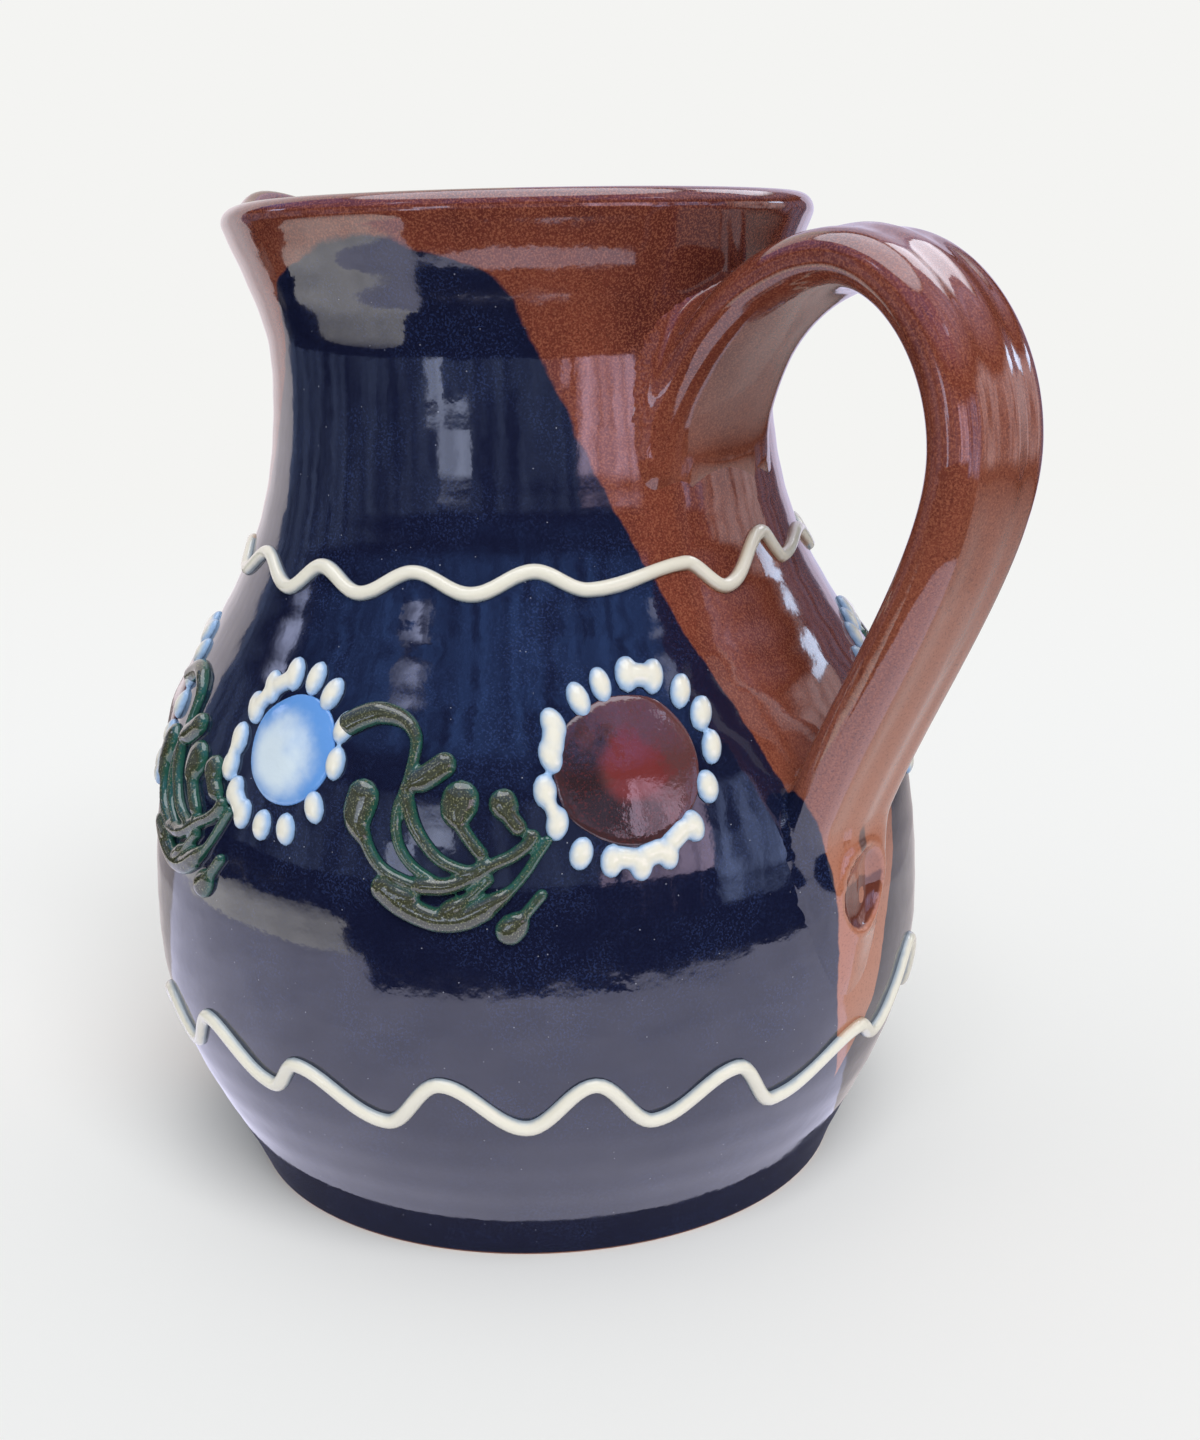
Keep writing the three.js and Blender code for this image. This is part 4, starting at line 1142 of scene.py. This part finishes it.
def glaze_surface(finish):
    """The glaze's slightly wavy surface."""
    pool = finish.noise(5 * MM, 2, 0.4)
    peel = finish.math("MULTIPLY", finish.noise(0.9 * MM, 1), 0.12)
    finish.bump(finish.math("ADD", pool, peel), 0.06 * MM)
    finish.set("Roughness", finish.step(finish.noise(7 * MM, 2), 0.3, 0.7, *GLAZE_ROUGHNESS))


def body_finish(colours):
    """Brown iron glaze with a dark dip on either side and a bare foot."""
    finish = Finish("body_glaze", GLAZE_IOR)
    dipped = finish.math("MULTIPLY", dip_masks(finish), finish.step(finish.attribute("outside"), 0.4, 0.6))
    thin = finish.step(finish.height(), *BODY_THIN, 0, THINNEST)
    # 0.9 is how strong the painted shade round the strap's root is
    glaze = finish.mix(dipped, brown_glaze(finish, colours, thin, 0.9), dark_glaze(finish, colours))
    glazed = finish.step(finish.height(), 0.2 * MM, 0.5 * MM)
    finish.set("Base Color", finish.mix(glazed, colours.clay, glaze))
    glaze_surface(finish)
    return finish.material


def handle_finish(colours):
    """Brown iron glaze on the strap; the dark dip caught the tongue's flanks."""
    finish = Finish("handle_glaze", GLAZE_IOR)
    strap_place = finish.add("ShaderNodeSeparateXYZ", {0: finish.attribute("strap_place", "Vector")})
    across, off_skin = strap_place.outputs["X"], strap_place.outputs["Z"]
    dips = dip_masks(finish, finish.math("MULTIPLY", off_skin, STRAP_DIP_LOSS))
    dipped = finish.math("MULTIPLY", dips, finish.step(off_skin, *STRAP_DIP_REACH))
    face = finish.step(across, *STRAP_EDGE, 0.3, 1.0)
    thin = finish.math("MULTIPLY", finish.step(finish.height(), *STRAP_THIN, 0, THINNEST), face)
    # 0.3 is how strong the painted shade round the strap's root is on the strap
    brown = brown_glaze(finish, colours, thin, 0.3)
    ragged = finish.math("ADD", finish.height(), finish.math("MULTIPLY", finish.noise(2.5 * MM, 3), 4 * MM))
    pressed = finish.step(finish.attribute("thumb_press"), 0.05, 0.12)
    depth = finish.step(ragged, POOL_TOP + POOL_BLUR, POOL_TOP - POOL_BLUR, 0.25, 0.85)
    brown = finish.mix(finish.math("MULTIPLY", pressed, depth), brown, colours.maroon)
    middle = (0, SMUDGE[0], SMUDGE[1] * SMUDGE_SQUAT)
    off_smudge = finish.distance(finish.stretched((0, 1, SMUDGE_SQUAT)), middle)
    brown = finish.mix(finish.step(off_smudge, *SMUDGE_FADE, 0, 0.75), brown, colours.smudge)
    finish.set("Base Color", finish.mix(dipped, brown, dark_glaze(finish, colours)))
    glaze_surface(finish)
    return finish.material


def slip_surface(finish, roughness=SLIP_ROUGHNESS):
    """The skin of slip under glaze: smooth with a few fine dimples."""
    finish.set("Roughness", roughness)
    finish.bump(finish.noise(1.1 * MM, 2), 0.05 * MM)


def ragged_crown(finish, grain, share):
    """0 at the edge of slip and 1 on its crown, made ragged by a share of noise."""
    stray = finish.math("MULTIPLY", finish.noise(grain, 2), share)
    return finish.math("ADD", finish.attribute("crown"), stray)


def petal_finish(colours):
    """White slip, cream on its crown, with blue bled in from the dark glaze at its edge."""
    finish = Finish("petal_slip", SLIP_IOR)
    crown = ragged_crown(finish, 1.5 * MM, 0.3)
    finish.set("Base Color", finish.mix(finish.step(crown, 0.5, 1.15), colours.cream_edge, colours.cream))
    slip_surface(finish)
    return finish.material


def trail_finish(colours):
    """White slip in a trailed line, greyer at its edges."""
    finish = Finish("trail_slip", SLIP_IOR)
    crown = ragged_crown(finish, 2 * MM, 0.3)
    edge = finish.mix(dip_masks(finish), colours.trail_edge_brown, colours.trail_edge)
    finish.set("Base Color", finish.mix(finish.step(crown, 0.25, 0.85), edge, colours.cream))
    slip_surface(finish)
    return finish.material


def red_finish(colours):
    """Red slip with a bright middle, a dark ring that is widest low on the left, and a brown edge."""
    finish = Finish("red_slip", GLAZE_IOR)
    place = finish.attribute("dab_place", "Vector")
    cloud = finish.math("MULTIPLY", finish.math("SUBTRACT", finish.noise(4 * MM, 3, 0.6), 0.5), 0.9)
    off = finish.add("ShaderNodeSeparateXYZ", {0: place}).outputs["Z"]
    lean = finish.dot(place, (-0.5, -0.32, 0))
    ring = finish.math("MULTIPLY", finish.step(off, 0.28, 0.5), finish.step(off, 1.35, 0.75))
    shade = finish.step(finish.math("ADD", lean, cloud), -0.25, 0.3, 0.1, 1.0)
    red = finish.mix(finish.step(finish.math("ADD", off, cloud), 0.3, 0.6), colours.red, colours.red_edge)
    red = finish.mix(finish.math("MULTIPLY", ring, shade), red, colours.red_dark)
    specks = finish.step(finish.noise(0.4 * MM, 2), 0.5, 0.7, 0, 0.35)
    finish.set("Base Color", finish.mix(specks, red, colours.red))
    slip_surface(finish, RED_ROUGHNESS)
    return finish.material


def blue_finish(colours):
    """Blue slip round a pale core that lies low and to the left."""
    finish = Finish("blue_slip", SLIP_IOR)
    off = finish.distance(finish.attribute("dab_place", "Vector"), (-0.15, -0.15, 0.6))
    cloud = finish.math("ADD", off, finish.math("MULTIPLY", finish.noise(3 * MM, 3), 0.35))
    finish.set("Base Color", finish.mix(finish.step(cloud, 0.55, 1.2), colours.blue_core, colours.blue))
    slip_surface(finish)
    return finish.material


def leaf_finish(colours):
    """Olive slip with pale specks on its crown and a green edge."""
    finish = Finish("leaf_slip", GLAZE_IOR)
    crown = ragged_crown(finish, 1.6 * MM, 0.4)
    leaf = finish.mix(finish.step(crown, 0.55, 1.05), colours.leaf_edge, colours.leaf)
    on_crown = finish.step(finish.attribute("crown"), 0.25, 0.6)
    specks = finish.math("MULTIPLY", finish.step(finish.noise(0.3 * MM, 2), 0.54, 0.72), on_crown)
    finish.set("Base Color", finish.mix(specks, leaf, colours.leaf_speck))
    slip_surface(finish, LEAF_ROUGHNESS)
    return finish.material


def pale_material(stage):
    """The floor's and the backdrop's white: lit near the jug, even further off."""
    nodes = Nodes("pale_stage")
    diffuse = nodes.add("ShaderNodeBsdfDiffuse", {"Color": stage.pale})
    even = nodes.add("ShaderNodeEmission", {"Color": stage.pale})
    path = nodes.add("ShaderNodeLightPath").outputs
    seen = nodes.math("MAXIMUM", path["Is Camera Ray"], path["Is Glossy Ray"])
    seen = nodes.math("MAXIMUM", seen, path["Is Transmission Ray"])
    far = nodes.step(nodes.distance(nodes.place), *EVEN_FLOOR, easing="LINEAR")
    share = nodes.math("MULTIPLY", seen, far)
    blend = nodes.add("ShaderNodeMixShader", {0: share, 1: diffuse.outputs[0], 2: even.outputs[0]})
    nodes.show(blend.outputs[0])
    return nodes.material


def card_material(name, colour, strength, streaky, fading=None):
    """A card that shines with one colour, in upright streaks where it is streaky, or is black at no strength.
    It fades out towards its lower and upper edge, or, lying flat, between two distances from the axis."""
    nodes = Nodes(name)
    shine = nodes.add("ShaderNodeEmission", {"Color": colour, "Strength": strength})
    if strength:
        streaks = nodes.noise(CARD_STREAK, 4, place=nodes.stretched(CARD_STRETCH))
        level = nodes.step(streaks, *CARD_LEVELS, strength * (1 - streaky), strength, "LINEAR")
        if fading is None:
            over_card = nodes.add("ShaderNodeTexCoord").outputs["Generated"]
            up = nodes.add("ShaderNodeSeparateXYZ", {0: over_card}).outputs["Z"]
            fade = nodes.step(nodes.math("PINGPONG", up, 0.5), 0, CARD_FADE)
        else:
            fade = nodes.step(nodes.distance(nodes.place), *reversed(fading))
        nodes.feed(shine.inputs["Strength"], nodes.math("MULTIPLY", level, fade))
    nodes.show(shine.outputs[0])
    return nodes.material


def add_stage_mesh(name, bm, material, reflected_only=False):
    """Adds a mesh that belongs to the stage. One that is reflected only shows in glossy reflections alone."""
    mesh = bpy.data.meshes.new(name)
    bm.to_mesh(mesh)
    bm.free()
    mesh.materials.append(material)
    item = bpy.data.objects.new(name, mesh)
    bpy.context.scene.collection.objects.link(item)
    if reflected_only:
        item.visible_camera = False
        item.visible_diffuse = False
        item.visible_shadow = False
        item.visible_transmission = False
    return item


def arc_card(bm, radius, low, high, start, end, steps=CARD_STEPS):
    """Adds a strip of wall round the axis between two heights and two angles."""
    foot = bm.verts.new((radius * math.cos(start), radius * math.sin(start), low))
    top = bm.verts.new((radius * math.cos(start), radius * math.sin(start), high))
    edge = bm.edges.new((foot, top))
    bmesh.ops.spin(bm, geom=[foot, top, edge], axis=(0, 0, 1), angle=end - start, steps=steps)


def flat_arc(bm, inner, outer, height, start, end):
    """Adds a flat strip round the axis between two distances and two angles."""
    near = bm.verts.new((inner * math.cos(start), inner * math.sin(start), height))
    far = bm.verts.new((outer * math.cos(start), outer * math.sin(start), height))
    edge = bm.edges.new((near, far))
    bmesh.ops.spin(bm, geom=[near, far, edge], axis=(0, 0, 1), angle=end - start, steps=FLAT_CARD_STEPS)


def follow_floor_edge(bm, inner):
    """Moves a flat strip's outer points to the pale floor's edge."""
    for vert in bm.verts:
        if vert.co.xy.length > inner + MM:
            reach = eased(FLOOR_EDGE, math.degrees(math.atan2(vert.co.y, vert.co.x))) * MM
            vert.co.xy = vert.co.xy.normalized() * reach


class JUG_OT_stage(bpy.types.Operator):
    """Sets up the pale floor and backdrop, the light and the camera"""

    bl_idname = "jug.stage"
    bl_label = "Photo Stage"

    def execute(self, context):
        stage = context.scene.jug_stage
        self.ground(stage)
        self.cards(stage)
        self.light(context.scene, stage)
        self.camera(context.scene, stage)
        context.scene.view_settings.view_transform = "Standard"
        return {"FINISHED"}

    def ground(self, stage):
        """The pale floor, with a round backdrop that lets the light through."""
        pale = pale_material(stage)
        bm = bmesh.new()
        bmesh.ops.create_circle(bm, cap_ends=True, radius=stage.floor_radius, segments=FLOOR_SIDES)
        add_stage_mesh("pale_floor", bm, pale)
        bm = bmesh.new()
        arc_card(bm, stage.floor_radius, 0, stage.wall_height, 0, FULL_TURN, FLOOR_SIDES)
        wall = add_stage_mesh("pale_backdrop", bm, pale)
        wall.visible_diffuse = False
        wall.visible_shadow = False

    def cards(self, stage):
        """Cards that only the glaze sees, as a photographer sets them to shape its reflections."""
        radius = stage.card_radius
        for name, colour, strength, streaky, arcs in REFLECTED_CARDS:
            bm = bmesh.new()
            for distance, low, high, start, end in arcs:
                arc_card(bm, distance * radius, low * MM, high * MM, math.radians(start), math.radians(end))
            add_stage_mesh(name, bm, card_material(name, colour, strength, streaky), reflected_only=True)
        bm = bmesh.new()
        above = Matrix.Translation((0, 0, OVERHEAD_HEIGHT))
        bmesh.ops.create_circle(bm, cap_ends=True, radius=radius, segments=OVERHEAD_SIDES, matrix=above)
        add_stage_mesh(OVERHEAD_CARD[0], bm, card_material(*OVERHEAD_CARD), reflected_only=True)
        foot = bpy.context.scene.jug_body.foot_radius
        clear, right = foot + FOOT_SHADE, radius * RIGHT_FLOOR
        # Name, colour, strength, inner and outer distance, first and last angle in degrees, height in mm;
        # those without an outer distance reach to the floor's edge
        floors = (
            ("foot_shade", (0.1, 0.1, 0.14), 1.0, foot, clear, 0, 360, 0.2),
            ("floor_card", (0.80, 0.79, 1.0), 1.5, clear, None, -165, 30, 0.2),
            ("warm_floor", (0.95, 0.87, 0.88), 0.85, clear, right, 30, 195, 0.2),
            ("right_floor", (0.95, 0.85, 0.86), 0.7, right, radius, 30, 195, 0.2),
            ("dark_floor", (0, 0, 0), 0.0, radius * DARK_FLOOR, radius, -165, 30, 0.1),
            ("grey_patch", (1.0, 0.97, 0.95), 2.2, radius * GREY_PATCH, None, -165, -90, 0.3),
        )
        fading = [radius * share for share in FLOOR_FADE]
        for name, colour, strength, inner, outer, start, end, height in floors:
            bm = bmesh.new()
            flat_arc(bm, inner, outer or radius, height * MM, math.radians(start), math.radians(end))
            if outer is None:
                follow_floor_edge(bm, inner)
            card = card_material(name, colour, strength, FLOOR_STREAKY, fading)
            add_stage_mesh(name, bm, card, reflected_only=True)

    def light(self, scene, stage):
        """A soft key light from beside the camera, and even light from all round."""
        key = bpy.data.lights.new("key", "SUN")
        key.energy = stage.key
        key.angle = KEY_SPREAD
        lamp = bpy.data.objects.new("key", key)
        turned = stage.camera_turn + KEY_ASIDE
        way = Vector((math.cos(turned), math.sin(turned), KEY_STEEPNESS))
        lamp.rotation_euler = way.to_track_quat("Z", "Y").to_euler()
        lamp.visible_glossy = False
        scene.collection.objects.link(lamp)
        world = bpy.data.worlds.new("studio")
        world.use_nodes = True
        surround = world.node_tree.nodes["Background"]
        surround.inputs["Color"].default_value = SURROUND
        surround.inputs["Strength"].default_value = stage.fill
        scene.world = world

    def camera(self, scene, stage):
        """The camera, placed and turned as it was for the photo."""
        lens = bpy.data.cameras.new("camera")
        lens.sensor_fit = "VERTICAL"
        lens.sensor_height = SENSOR_HEIGHT
        lens.lens = stage.lens
        lens.clip_start = NEAREST_SEEN
        camera = bpy.data.objects.new("camera", lens)
        across = stage.camera_distance * math.cos(stage.camera_turn)
        ahead = stage.camera_distance * math.sin(stage.camera_turn)
        heading = stage.camera_turn + math.pi / 2 - stage.camera_yaw
        camera.matrix_world = (
            Matrix.Translation((across, ahead, stage.camera_height))
            @ Matrix.Rotation(heading, 4, "Z")
            @ Matrix.Rotation(math.pi / 2 - stage.camera_pitch, 4, "X")
            @ Matrix.Rotation(stage.camera_roll, 4, "Z")
        )
        scene.collection.objects.link(camera)
        scene.camera = camera


OPERATORS = (
    JUG_OT_body, JUG_OT_handle, JUG_OT_trails, JUG_OT_dabs, JUG_OT_petals, JUG_OT_sprays, JUG_OT_stage,
)


class JUG_PT_pieces(bpy.types.Panel):
    """Lists the jug's pieces and its stage"""

    bl_idname = "JUG_PT_pieces"
    bl_label = "Earthenware Jug"
    bl_space_type = "VIEW_3D"
    bl_region_type = "UI"
    bl_category = "Jug"

    def draw(self, context):
        for operator in OPERATORS:
            self.layout.operator(operator.bl_idname)


def register():
    for name, group in PROPERTY_GROUPS.items():
        bpy.utils.register_class(group)
        setattr(bpy.types.Scene, name, PointerProperty(type=group))
    for operator in OPERATORS:
        bpy.utils.register_class(operator)
    bpy.utils.register_class(JUG_PT_pieces)


def unregister():
    bpy.utils.unregister_class(JUG_PT_pieces)
    for operator in reversed(OPERATORS):
        bpy.utils.unregister_class(operator)
    for name, group in PROPERTY_GROUPS.items():
        delattr(bpy.types.Scene, name)
        bpy.utils.unregister_class(group)


def main():
    register()
    bpy.ops.jug.body()
    bpy.ops.jug.handle()
    bpy.ops.jug.trails()
    bpy.ops.jug.dabs()
    bpy.ops.jug.petals()
    bpy.ops.jug.sprays()
    bpy.ops.jug.stage()


if __name__ == "__main__":
    main()
